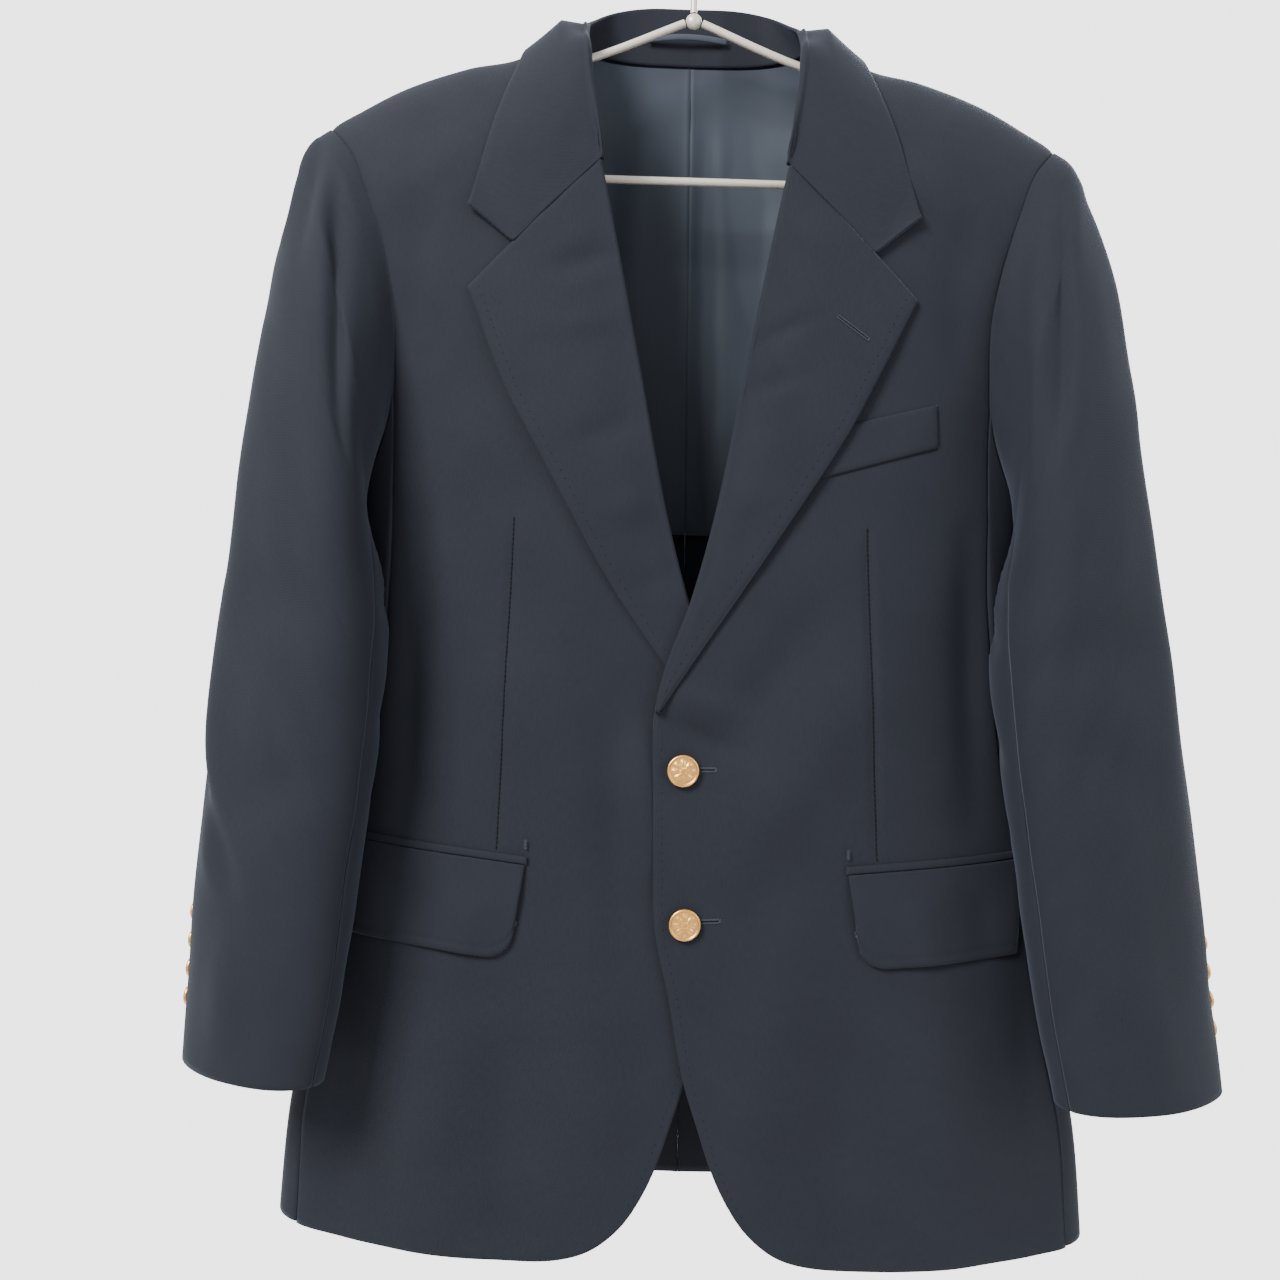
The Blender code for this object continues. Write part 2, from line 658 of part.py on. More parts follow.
def make_button(name, place, normal, radius, thick, steps):
    """A turned button: a flat foot, a rolled rim and a low dome."""
    profile = [
        (0.0, 0.0), (radius * 0.72, 0.0), (radius, thick * 0.35), (radius, thick * 0.62),
        (radius * 0.90, thick * 0.86), (radius * 0.80, thick * 0.72), (radius * 0.45, thick * 0.94),
        (0.0, thick),
    ]
    bm = bmesh.new()
    verts = [bm.verts.new((r, 0, h)) for r, h in profile]
    edges = [bm.edges.new(pair) for pair in zip(verts, verts[1:])]
    bmesh.ops.spin(bm, geom=verts + edges, cent=(0, 0, 0), axis=(0, 0, 1), angle=math.tau,
                   steps=steps, use_merge=True)
    bmesh.ops.remove_doubles(bm, verts=bm.verts, dist=1e-6)
    turn = normal.to_track_quat("Z", "Y").to_matrix().to_4x4()
    bm.transform(Matrix.Translation(hang(place)) @ turn)
    bmesh.ops.triangulate(bm, faces=bm.faces)
    return add_object(name, bm, "gilt")


def make_buttons():
    for number, (x, z) in enumerate(BUTTON_PLACES, 1):
        place = front_point(x, z, 1, REST_GAP)
        make_button("front_button_%d" % number, place, Vector((0, -1, 0)), BUTTON_RADIUS, BUTTON_THICK, 22)
    for side in (1, -1):
        for number in range(CUFF_BUTTON_COUNT):
            level = CUFF_BUTTON_FIRST_Z - CUFF_BUTTON_STEP * number
            angle = math.radians(14)
            share = 0.5
            for _ in range(40):
                share += (sleeve_place(share, angle, side).z - level) * 1.2
            place = sleeve_place(share, angle, side)
            across = sleeve_place(share, angle + 0.02, side) - sleeve_place(share, angle - 0.02, side)
            down = sleeve_place(share + 0.01, angle, side) - sleeve_place(share - 0.01, angle, side)
            normal = across.cross(down).normalized()
            if normal.x * side < 0:
                normal = -normal
            tag = "left" if side > 0 else "right"
            make_button("cuff_button_%s_%d" % (tag, number + 1), place + normal * 0.0006,
                        normal, CUFF_BUTTON_RADIUS, CUFF_BUTTON_THICK, 12)


def tube(name, points, radius, look="wire", sides=8):
    """A round wire along a list of places, with flat ends."""
    bm = bmesh.new()
    rings = []
    for k, place in enumerate(points):
        ahead = (points[min(k + 1, len(points) - 1)] - points[max(k - 1, 0)]).normalized()
        side_way = Vector((0, 1, 0))
        up_way = ahead.cross(side_way).normalized()
        ring = []
        for i in range(sides):
            angle = math.tau * i / sides
            ring.append(bm.verts.new(place + (side_way * math.cos(angle) + up_way * math.sin(angle)) * radius))
        rings.append(ring)
    for first, second in zip(rings, rings[1:]):
        for i in range(sides):
            j = (i + 1) % sides
            bm.faces.new((first[i], first[j], second[j], second[i]))
    bm.faces.new(rings[0])
    bm.faces.new(rings[-1][::-1])
    bmesh.ops.triangulate(bm, faces=bm.faces)
    return add_object(name, bm, look)


def make_hanger():
    middle = -HOOK_INNER_RADIUS
    turn = HOOK_INNER_RADIUS + WIRE_RADIUS
    hook = []
    for i in range(19):
        angle = math.radians(lerp(200, -90, i / 18))
        hook.append(Vector((turn * math.cos(angle), 0, middle + turn * math.sin(angle))))
    foot = middle - turn
    hook += [Vector((0, 0, foot - 0.012)), Vector((0, 0, JOINT_Z + JOINT_RADIUS + 0.0003))]
    tube("hanger_hook", hook, WIRE_RADIUS)
    bm = bmesh.new()
    bmesh.ops.create_uvsphere(bm, u_segments=12, v_segments=8, radius=JOINT_RADIUS)
    bm.transform(Matrix.Translation((0, 0, JOINT_Z)))
    bmesh.ops.triangulate(bm, faces=bm.faces)
    add_object("hanger_joint", bm, "wire")
    x_end, z_end = ARM_LINE[-1]
    reach = (z_end - BAR_Z) / 2
    for side in (1, -1):
        route = []
        for i in range(15):
            x = lerp(ARM_LINE[0][0], x_end, i / 14)
            route.append(hang(Vector((x * side, 0.0, read_table(ARM_LINE, x)))))
        for i in range(1, 11):
            angle = math.radians(lerp(20, 180, i / 10))
            route.append(hang(Vector(((x_end + reach * math.sin(angle)) * side, 0.0,
                                      BAR_Z + reach * (1 + math.cos(angle))))))
        route.append(hang(Vector(((x_end - 0.006) * side, 0.0, BAR_Z))))
        tag = "left" if side > 0 else "right"
        tube("hanger_arm_" + tag, route, ARM_RADIUS)
    half = x_end - 0.006 - SEAM_GAP
    bar = [hang(Vector((lerp(-half, half, i / 6), 0.0, BAR_Z))) for i in range(7)]
    tube("hanger_bar", bar, ARM_RADIUS)


def main():
    clear_scene()
    for side in (1, -1):
        make_front(side)
        make_back(side)
        make_side(side)
        make_sleeve(side)
        make_lapel(side)
        make_lining(side)
        make_pocket(side)
    make_collar_leaf()
    make_collar_stand()
    make_welt()
    make_buttons()
    make_hanger()


main()
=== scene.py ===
# %% [markdown]
# # A two-button tailored jacket on a wire hanger
# The imported model is the fixed frame for everything here. It gives the places and the sizes,
# and each piece of cloth, gilt or wire below is dressed onto it in the same metres.

# %% Load the frame
import math

import bmesh
import bpy
from mathutils import Matrix, Vector
from mathutils import noise


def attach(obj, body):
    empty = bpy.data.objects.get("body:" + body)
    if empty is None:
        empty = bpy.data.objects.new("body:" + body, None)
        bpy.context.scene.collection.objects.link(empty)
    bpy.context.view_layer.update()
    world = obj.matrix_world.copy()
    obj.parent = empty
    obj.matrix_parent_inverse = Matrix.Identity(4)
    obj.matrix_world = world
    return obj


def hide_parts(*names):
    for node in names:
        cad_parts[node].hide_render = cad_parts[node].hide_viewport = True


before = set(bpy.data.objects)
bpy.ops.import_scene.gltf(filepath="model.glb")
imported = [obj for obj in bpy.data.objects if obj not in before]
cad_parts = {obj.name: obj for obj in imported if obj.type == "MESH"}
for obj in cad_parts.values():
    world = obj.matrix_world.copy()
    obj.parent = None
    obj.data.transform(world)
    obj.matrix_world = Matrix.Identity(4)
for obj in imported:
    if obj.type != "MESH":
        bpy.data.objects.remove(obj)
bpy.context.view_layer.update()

# %% [markdown]
# ## The eye
# The jacket is seen square from the front at arm's length, the camera a little to one side of
# the centre line and turned by less than a degree. The camera comes first, because it says
# which places need the finest work.

# %% Camera
EYE = (-0.030, -0.834, -0.497)
EYE_ROLL = math.radians(0.7)
LENS_MM = 36.1


def make_camera():
    eye = bpy.data.cameras.new("eye")
    eye.lens = LENS_MM
    eye.sensor_width = 36.0
    holder = bpy.data.objects.new("eye", eye)
    turned = Matrix.Rotation(math.radians(90), 4, "X") @ Matrix.Rotation(EYE_ROLL, 4, "Z")
    holder.matrix_world = Matrix.Translation(EYE) @ turned
    bpy.context.scene.collection.objects.link(holder)
    bpy.context.scene.camera = holder


make_camera()
print("camera at", EYE)

# %% [markdown]
# ## The body form
# A tailor works over a block. Here the block is a rounded section at each height, closing along
# the shoulder ridge, the same one that the frame's solids follow. Every panel is laid on it, so
# pockets, lapels and seams agree wherever they meet.

# %% The block's tables
WOOL = 0.0016
LAPEL_CLOTH = 0.0022
COLLAR_CLOTH = 0.0022
REST_GAP = 0.0004
HANG_TILT = 0.02
FRONT_DEPTH = 0.055
BACK_DEPTH = 0.050
ROUND_POWER = 3.0
SHOULDER_ROUND = 0.10
RIDGE_CLEARANCE = 1.5
RIDGE_EASE = 0.05
NECK_POINT_X = 0.085
SHOULDER_TIP_X = 0.234
BACK_NECK_Z = -0.1035
GORGE_Z = -0.207
BREAK_Z = -0.541
LAPEL_POINT_Z = -0.286
ARMPIT_Z = -0.405
SIDE_TOP_Z = -0.350
LINING_HEM_Z = -0.425
BACK_HEM_Z = -0.862
SIDE_HEM_Z = -0.868
# height, half width of the body
BODY_WIDTH = [
    (-0.100, 0.252), (-0.170, 0.250), (-0.200, 0.245), (-0.300, 0.225), (-0.350, 0.2155),
    (-0.405, 0.212), (-0.475, 0.210), (-0.560, 0.213), (-0.650, 0.226), (-0.750, 0.245),
    (-0.800, 0.254), (-0.880, 0.259),
]
# height, share of the half width where the side panel starts
SIDE_SEAM = [(-0.350, 0.860), (-0.450, 0.885), (-0.600, 0.930), (-0.700, 0.935), (-0.880, 0.935)]
# distance from the centre, height of the shoulder ridge
SHOULDER_LINE = [
    (0.000, -0.045), (0.040, -0.055), (0.070, -0.085), (0.085, -0.106), (0.107, -0.1235),
    (0.145, -0.1330), (0.185, -0.1470), (0.212, -0.1610), (0.234, -0.1740), (0.250, -0.1900),
]
# height, distance from the centre of the armhole seam
ARMHOLE = [
    (-0.174, 0.234), (-0.197, 0.216), (-0.230, 0.202), (-0.260, 0.192), (-0.290, 0.1865),
    (-0.320, 0.1845), (-0.350, 0.1853), (-0.375, 0.1910), (-0.395, 0.2010), (-0.405, 0.2120),
]
# height, distance of the roll line and then the front edge beyond the centre
FRONT_EDGE = [
    (-0.106, 0.0850), (-0.126, 0.0760), (-0.158, 0.0690), (-0.185, 0.0630), (-0.207, 0.0570),
    (-0.257, 0.0465), (-0.331, 0.0320), (-0.420, 0.0145), (-0.474, 0.0000), (-0.517, -0.0155),
    (-0.541, -0.0205), (-0.592, -0.0210), (-0.631, -0.0205), (-0.673, -0.0190), (-0.716, -0.0100),
    (-0.764, -0.0010), (-0.791, 0.0075), (-0.819, 0.0170), (-0.835, 0.0245), (-0.846, 0.0310),
]
# distance from the centre, height of the front hem
FRONT_HEM = [
    (0.031, -0.8460), (0.037, -0.8540), (0.053, -0.8680), (0.071, -0.8750), (0.120, -0.8780),
    (0.200, -0.8720), (0.260, -0.8680),
]

# %% [markdown]
# ## Reading the tables
# A cutter marks a few points and joins them with a fair curve. read_table does the same: it
# leads a smooth curve through a table's rows and never swings past them. A curve object could
# hold that line too, but a function gives its value at any height and leaves nothing behind.

# %% Reading the tables
def read_table(table, at, column=1):
    """A column of a table at one value of its first column, along a smooth curve."""
    rows = table if table[0][0] < table[-1][0] else table[::-1]
    if at <= rows[0][0]:
        return rows[0][column]
    if at >= rows[-1][0]:
        return rows[-1][column]
    k = 0
    while rows[k + 1][0] < at:
        k += 1
    x0, x1 = rows[k][0], rows[k + 1][0]
    y0, y1 = rows[k][column], rows[k + 1][column]
    step = x1 - x0
    chord = (y1 - y0) / step
    before = chord if k == 0 else (y0 - rows[k - 1][column]) / (x0 - rows[k - 1][0])
    after = chord if k + 2 == len(rows) else (rows[k + 2][column] - y1) / (rows[k + 2][0] - x1)
    start = (before + chord) / 2 if before * chord > 0 else 0.0
    end = (after + chord) / 2 if after * chord > 0 else 0.0
    if k == 0:
        start = chord
    if k + 2 == len(rows):
        end = chord
    t = (at - x0) / step
    return (y0 * (2 * t**3 - 3 * t**2 + 1) + y1 * (3 * t**2 - 2 * t**3)
            + step * start * (t**3 - 2 * t**2 + t) + step * end * (t**3 - t**2))


def lerp(a, b, t):
    return a + (b - a) * t


def smooth(t):
    t = min(max(t, 0.0), 1.0)
    return t * t * (3 - 2 * t)


print("shoulder ridge at 0.15 m", round(read_table(SHOULDER_LINE, 0.15), 4))

# %% [markdown]
# ## The block's skin
# body_y gives the body's surface at any place seen from the front, and skin_normal the way it
# faces. Everything sewn on is laid along that normal, so nothing floats or sinks where the
# body curves.


# %% The block's skin
def half_width(z):
    return read_table(BODY_WIDTH, z)


def shoulder_share(x, z):
    """How far the shoulders have rounded out: 0 on the ridge, 1 well below it."""
    drop = (read_table(SHOULDER_LINE, abs(x)) - z) / SHOULDER_ROUND
    drop = min(max(drop, 0.0), 1.0)
    return math.sqrt(max(0.0, 1 - (1 - drop) ** 2))


def below_ridge(x, z):
    """0 on the shoulder ridge, where cloth lies tight, and 1 from RIDGE_EASE below it."""
    return smooth((read_table(SHOULDER_LINE, abs(x)) - z) / RIDGE_EASE)


def body_y(x, z, back=False):
    reach = min(abs(x) / half_width(z), 1.0)
    depth = (1 - reach**ROUND_POWER) ** (1 / ROUND_POWER) * shoulder_share(x, z)
    return BACK_DEPTH * depth if back else -FRONT_DEPTH * depth


def lap_shift(x, z, side):
    """The over front stands a little proud near the edge, and the under front lies behind it."""
    near = 1 - smooth((x - 0.022) / 0.060)
    low = smooth((-0.36 - z) / 0.10)
    if side > 0:
        return -0.0006 * near * low
    return lerp(0.0052, 0.0026, smooth((-0.545 - z) / 0.05)) * near * low


def skin_normal(x, z, back=False):
    step = 0.001
    dx = (body_y(x + step, z, back) - body_y(x - step, z, back)) / (2 * step)
    dz = (body_y(x, z + step, back) - body_y(x, z - step, back)) / (2 * step)
    return Vector((-dx, 1.0, -dz) if back else (dx, -1.0, dz)).normalized()


print("chest half width", round(half_width(-0.42), 3))

# %% [markdown]
# ## Creases
# Cloth on a hanger is never dead flat. A crease is a soft ridge or trough along a short line,
# deepest in its middle. Each is listed by two ends, a height and a width. A positive
# height stands out, a negative one sinks. The fronts' creases follow the picture; the back and
# the inner sleeves, which it doesn't show, have the usual ones of a hung jacket.

# %% Crease tables
CREASE_GAIN = 2.1
# first x, first z, last x, last z, height, width
FRONT_CREASES = {
    1: [
        (-0.018, -0.545, 0.034, -0.566, -0.0016, 0.0065),
        (-0.010, -0.528, 0.040, -0.545, 0.0010, 0.0070),
        (0.112, -0.520, 0.026, -0.636, 0.0026, 0.0240), (0.086, -0.470, 0.020, -0.560, -0.0014, 0.0160),
        (0.172, -0.430, 0.178, -0.600, -0.0022, 0.0110), (0.060, -0.690, 0.030, -0.850, 0.0024, 0.0260),
        (0.150, -0.700, 0.165, -0.870, 0.0026, 0.0240), (0.212, -0.690, 0.222, -0.860, -0.0024, 0.0150),
        (0.170, -0.215, 0.160, -0.330, -0.0014, 0.0140), (0.120, -0.200, 0.172, -0.235, 0.0010, 0.0150),
        (0.100, -0.720, 0.094, -0.870, -0.0018, 0.0200),
    ],
    -1: [
        (0.030, -0.555, 0.026, -0.640, 0.0018, 0.0100), (0.046, -0.560, 0.040, -0.690, -0.0016, 0.0140),
        (0.120, -0.500, 0.050, -0.610, 0.0020, 0.0260), (0.168, -0.430, 0.172, -0.610, -0.0022, 0.0120),
        (0.070, -0.700, 0.040, -0.850, 0.0022, 0.0260), (0.150, -0.710, 0.160, -0.870, 0.0026, 0.0230),
        (0.208, -0.700, 0.214, -0.860, -0.0026, 0.0150), (0.172, -0.215, 0.165, -0.320, -0.0016, 0.0140),
        (0.110, -0.730, 0.104, -0.870, -0.0018, 0.0200), (0.130, -0.190, 0.178, -0.225, 0.0009, 0.0140),
    ],
}
BACK_CREASES = [
    (0.090, -0.150, 0.150, -0.210, 0.0012, 0.0160), (0.150, -0.240, 0.165, -0.420, -0.0024, 0.0160),
    (0.100, -0.260, 0.085, -0.520, 0.0020, 0.0260), (0.040, -0.480, 0.120, -0.545, -0.0014, 0.0130),
    (0.050, -0.560, 0.150, -0.600, -0.0012, 0.0120), (0.060, -0.620, 0.050, -0.860, 0.0028, 0.0260),
    (0.140, -0.620, 0.165, -0.860, 0.0030, 0.0280), (0.105, -0.680, 0.108, -0.860, -0.0020, 0.0200),
]
SIDE_CREASES = [
    (0.30, -0.440, 0.34, -0.560, -0.0016, 0.0120), (0.62, -0.460, 0.58, -0.640, 0.0016, 0.0160),
    (0.45, -0.600, 0.40, -0.860, -0.0018, 0.0180),
]
# lapel: across share, first height, across share, last height, height, width
LAPEL_CREASES = {
    1: [
        (0.05, -0.315, 0.42, -0.300, -0.0008, 0.0060), (0.06, -0.345, 0.46, -0.335, -0.0008, 0.0070),
        (0.05, -0.400, 0.60, -0.420, 0.0007, 0.0080), (0.10, -0.240, 0.55, -0.262, 0.0006, 0.0090),
    ],
    -1: [
        (0.02, -0.262, 0.45, -0.276, -0.0012, 0.0075), (0.05, -0.300, 0.55, -0.312, 0.0007, 0.0080),
        (0.05, -0.362, 0.75, -0.382, -0.0007, 0.0080), (0.08, -0.410, 0.80, -0.425, 0.0007, 0.0090),
        (0.10, -0.455, 0.80, -0.470, -0.0006, 0.0080),
    ],
}
# sleeve: first share, first angle, last share, last angle, height, width
SLEEVE_CREASES = {
    1: [
        (0.07, -40, 0.26, -92, -0.0030, 0.0105), (0.05, -62, 0.20, -112, 0.0016, 0.0120),
        (0.12, -8, 0.40, -24, 0.0018, 0.0140), (0.40, -30, 0.86, -58, 0.0020, 0.0170),
        (0.46, -120, 0.60, -62, -0.0020, 0.0140), (0.56, -125, 0.70, -70, -0.0016, 0.0130),
        (0.62, 30, 0.92, -20, -0.0016, 0.0150), (0.80, -100, 0.98, -84, 0.0016, 0.0160),
        (0.30, -70, 0.50, -90, -0.0012, 0.0180),
        (0.40, 110, 0.52, 170, -0.0026, 0.0130), (0.50, 95, 0.62, 160, -0.0022, 0.0120),
        (0.20, 120, 0.34, 175, -0.0024, 0.0150), (0.66, 120, 0.84, 150, 0.0018, 0.0170),
    ],
    -1: [
        (0.06, -52, 0.24, -100, -0.0034, 0.0105), (0.05, -26, 0.22, -44, -0.0016, 0.0090),
        (0.05, -12, 0.24, -22, 0.0014, 0.0080), (0.36, -34, 0.80, -50, 0.0022, 0.0160),
        (0.44, -122, 0.58, -58, -0.0020, 0.0140), (0.64, -118, 0.74, -72, -0.0014, 0.0120),
        (0.70, -8, 0.82, -78, -0.0018, 0.0110), (0.60, -30, 0.80, -48, 0.0018, 0.0120),
        (0.82, -80, 0.98, -70, 0.0014, 0.0150), (0.30, -76, 0.48, -92, -0.0012, 0.0180),
        (0.38, 112, 0.50, 172, -0.0026, 0.0130), (0.48, 98, 0.60, 162, -0.0022, 0.0120),
        (0.20, 122, 0.32, 176, -0.0022, 0.0150), (0.68, 118, 0.86, 150, 0.0018, 0.0170),
    ],
}
print("front creases", [len(rows) for rows in FRONT_CREASES.values()])

# %% [markdown]
# ## From table to crease
# Each crease adds a bell-shaped height across its line, full in the middle and fading at the
# ends. A noise of less than a millimetre keeps the cloth between them from looking machined.


# %% From table to crease
def crease_height(table, a, b, scale_a=1.0, scale_b=1.0):
    """The sum of a table's creases at a place (a, b); the scales turn the place into metres."""
    total = 0.0
    for a0, b0, a1, b1, height, width in table:
        run_a, run_b = (a1 - a0) * scale_a, (b1 - b0) * scale_b
        off_a, off_b = (a - a0) * scale_a, (b - b0) * scale_b
        length = run_a * run_a + run_b * run_b
        along = (off_a * run_a + off_b * run_b) / length
        reach = min(max(along, 0.0), 1.0)
        gap_a, gap_b = off_a - run_a * reach, off_b - run_b * reach
        apart = (gap_a * gap_a + gap_b * gap_b) / (width * width)
        if apart < 7:
            total += CREASE_GAIN * height * math.exp(-apart) * (0.35 + 0.65 * math.sin(math.pi * reach))
    return total


def wander(x, z, seed, scale=0.045, height=0.0010):
    """The small unevenness that a pressed wool panel keeps."""
    return height * noise.noise(Vector((x / scale, z / scale, seed)))


print("creases", sum(len(rows) for rows in FRONT_CREASES.values()) + len(BACK_CREASES))

# %% [markdown]
# ## Cloth from a grid
# A cut piece is one grid of cloth. create_grid gives a flat sheet of quads, and each vertex is
# then carried to its place on the block. The sheet keeps its own measure in a UV map, in
# metres along and across, so that the weave lies square to each piece as the tailor cut it.
# Solidify gives the wall its thickness, inwards from the face that is seen.


# %% Sheet helper
SIDES = ((1, "left"), (-1, "right"))
FRONT_OF = {1: "over_front", -1: "under_front"}


def hang(point):
    """The jacket hangs a little lower on the wearer's left."""
    return Vector((point.x, point.y, point.z - HANG_TILT * point.x))


def mirrored(place, side):
    """A place worked out for the wearer's left, on the asked side."""
    return Vector((place.x * side, place.y, place.z))


def measure(places):
    """Running length along a list of places."""
    total = 0.0
    marks = [0.0]
    for first, second in zip(places, places[1:]):
        total += (second - first).length
        marks.append(total)
    return marks


def finished(name, bm, look):
    """A bmesh as a smooth object at the origin, in its material."""
    mesh = bpy.data.meshes.new(name)
    bm.to_mesh(mesh)
    bm.free()
    mesh.shade_smooth()
    mesh.materials.append(look)
    piece = bpy.data.objects.new(name, mesh)
    bpy.context.scene.collection.objects.link(piece)
    return piece


def cloth(name, across, down, place, thick, outward, look):
    """A sheet of across by down quads, where place(u, v) gives its outer skin."""
    bm = bmesh.new()
    bmesh.ops.create_grid(bm, x_segments=across, y_segments=down, size=1.0)
    shares = {}
    for vert in bm.verts:
        u, v = (vert.co.x + 1) / 2, (1 - vert.co.y) / 2
        shares[vert.index] = (round(u * across), round(v * down))
        vert.co = hang(place(u, v))
    columns = {}
    for vert in bm.verts:
        columns[shares[vert.index]] = vert.co
    rows = [[columns[(i, j)] for i in range(across + 1)] for j in range(down + 1)]
    width = max(measure(row)[-1] for row in rows)
    length = max(measure(column)[-1] for column in zip(*rows))
    marks_u = measure(rows[down // 2])
    marks_v = measure([row[across // 2] for row in rows])
    layer = bm.loops.layers.uv.new("cloth")
    for face in bm.faces:
        for loop in face.loops:
            i, j = shares[loop.vert.index]
            loop[layer].uv = (marks_u[i], -marks_v[j])
    bm.normal_update()
    centre = columns[(across // 2, down // 2)]
    middle = min(bm.faces, key=lambda f: (f.calc_center_median() - centre).length)
    if middle.normal.dot(outward) < 0:
        bmesh.ops.reverse_faces(bm, faces=bm.faces)
    area = sum(face.calc_area() for face in bm.faces)
    piece = finished(name, bm, look)
    wall = piece.modifiers.new("wall", "SOLIDIFY")
    wall.thickness = thick
    wall.offset = -1.0
    wall.use_even_offset = False
    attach(piece, "root")
    return piece


# %% [markdown]
# ## A material's nodes
# A material is a small graph: textures feed colours and a bump, and those feed one shader. The
# helpers below add a node with its values and its links in one line, so the graph of each
# material can be read as a sentence.

# %% A material's nodes
YARN_SCALE = 900.0
CLOUD_SCALE = 26.0
TWILL_RATE = 0.36
SHEEN_TINT = (0.55, 0.66, 0.90, 1.0)


def new_look(name, colour, rough, metal=0.0):
    look = bpy.data.materials.new(name)
    look.use_nodes = True
    shader = look.node_tree.nodes["Principled BSDF"]
    set_inputs(shader, {"Base Color": (*colour, 1.0), "Roughness": rough, "Metallic": metal})
    return look, look.node_tree, shader


def set_inputs(node, values):
    for key, value in values.items():
        node.inputs[key].default_value = value


def add(tree, kind, inputs=(), links=(), **settings):
    """A new node with its settings, its input values, and the sockets that feed it."""
    node = tree.nodes.new(kind)
    for key, value in settings.items():
        setattr(node, key, value)
    set_inputs(node, dict(inputs))
    for key, source in dict(links).items():
        tree.links.new(source, node.inputs[key])
    return node


def mix_colours(tree, factor, first, second):
    blend = add(tree, "ShaderNodeMix", data_type="RGBA")
    set_inputs(blend, {"A": (*first, 1.0), "B": (*second, 1.0)})
    tree.links.new(factor, blend.inputs["Factor"])
    return blend.outputs["Result"]


def bumped(tree, shader, height, strength, distance):
    bump = add(tree, "ShaderNodeBump", {"Strength": strength, "Distance": distance}, {"Height": height})
    tree.links.new(bump.outputs["Normal"], shader.inputs["Normal"])

# %% [markdown]
# ## Wool, lining, gilt and wire
# The wool is a fine navy worsted: matt, with a twill too small to see from arm's length but
# enough to catch the light, and a faint heathered unevenness. The weave is drawn on the
# piece's own UV map, so it runs with the grain. The lining is a smoother, bluer satin. The
# buttons are gilt brass and the wire has a warm satin coat, both with a fine random grain.


# %% Materials
def woven(name, dark, light, rough, sheen, twill_size=0.0011, depth=0.00012):
    """Cloth with a diagonal twill, a heathered colour and a soft nap."""
    look, tree, shader = new_look(name, dark, rough)
    uv = add(tree, "ShaderNodeUVMap", uv_map="cloth").outputs["UV"]
    twill = add(tree, "ShaderNodeTexWave",
                {"Scale": TWILL_RATE / twill_size, "Distortion": 1.2, "Detail": 1.0, "Detail Scale": 2.0},
                {"Vector": uv}, wave_type="BANDS", bands_direction="DIAGONAL")
    drawn = add(tree, "ShaderNodeMapping", {"Scale": (1.0, 0.22, 1.0)}, {"Vector": uv})
    yarn = add(tree, "ShaderNodeTexNoise", {"Scale": YARN_SCALE, "Detail": 3.0},
               {"Vector": drawn.outputs["Vector"]})
    cloud = add(tree, "ShaderNodeTexNoise", {"Scale": CLOUD_SCALE, "Detail": 4.0}, {"Vector": uv})
    spread = add(tree, "ShaderNodeMath", {1: 0.45}, {0: cloud.outputs["Fac"]}, operation="MULTIPLY")
    blend = add(tree, "ShaderNodeMath", {1: 0.55},
                {0: yarn.outputs["Fac"], 2: spread.outputs["Value"]}, operation="MULTIPLY_ADD")
    tree.links.new(mix_colours(tree, blend.outputs["Value"], dark, light), shader.inputs["Base Color"])
    height = add(tree, "ShaderNodeMath", (), {0: twill.outputs["Fac"], 1: yarn.outputs["Fac"]},
                 operation="ADD")
    bumped(tree, shader, height.outputs["Value"], 0.35, depth)
    set_inputs(shader, {"Sheen Weight": sheen, "Sheen Roughness": 0.45, "Sheen Tint": SHEEN_TINT,
                        "Specular IOR Level": 0.05})
    return look


def metal_look(name, base, worn, rough, scale, metal):
    """Satin metal whose colour, roughness and bump vary with a fine random grain."""
    look, tree, shader = new_look(name, base, rough, metal)
    source = add(tree, "ShaderNodeTexCoord")
    grain = add(tree, "ShaderNodeTexNoise", {"Scale": scale, "Detail": 5.0},
                {"Vector": source.outputs["Object"]}).outputs["Fac"]
    tree.links.new(mix_colours(tree, grain, base, worn), shader.inputs["Base Color"])
    spread = add(tree, "ShaderNodeMapRange", {"To Min": rough - 0.08, "To Max": rough + 0.10},
                 {"Value": grain})
    tree.links.new(spread.outputs["Result"], shader.inputs["Roughness"])
    bumped(tree, shader, grain, 0.15, 0.0002)
    return look


NAVY = woven("navy_worsted", (0.0025, 0.0029, 0.0043), (0.0050, 0.0056, 0.0078), 0.85, 0.024)
NAVY_THREAD = woven("bound_thread", (0.0085, 0.0098, 0.0134), (0.0130, 0.0148, 0.0195), 0.75, 0.03)
# Near-black: painted shade for the dart grooves and buttonhole slits, and painted dimple shade on the real
# pick stitches.
PAINTED_SHADE_BEADS = woven("painted_shade_beads", (0.0008, 0.0009, 0.0013), (0.0014, 0.0016, 0.0022), 0.85, 0.0)
LINING = woven("lining_satin", (0.0105, 0.0130, 0.0176), (0.0134, 0.0163, 0.0216), 0.58, 0.02,
               0.0006, 0.00004)
GILT = metal_look("gilt_brass", (0.200, 0.100, 0.026), (0.300, 0.165, 0.052), 0.34, 900.0, 1.0)
WIRE = metal_look("coated_wire", (0.150, 0.131, 0.112), (0.190, 0.170, 0.148), 0.40, 500.0, 0.2)
print("materials", len(bpy.data.materials))

# %% [markdown]
# ## Fronts
# Each front runs from the shoulder seam to the rounded hem. Its inner edge is the roll line as
# far as the break and the front edge below it. The dart is a shallow nip, and the armhole and
# side edges dip a little, as a pressed-open seam does.

# %% Fronts
ROLL_RADIUS = 0.0024
DART_TOP = (0.1075, -0.425)
DART_FOOT = (0.1160, -0.628)
EDGE_DIP = 0.0007
FRONT_HINTS = Vector((0, -1, 0))
BACK_HINTS = Vector((0, 1, 0))


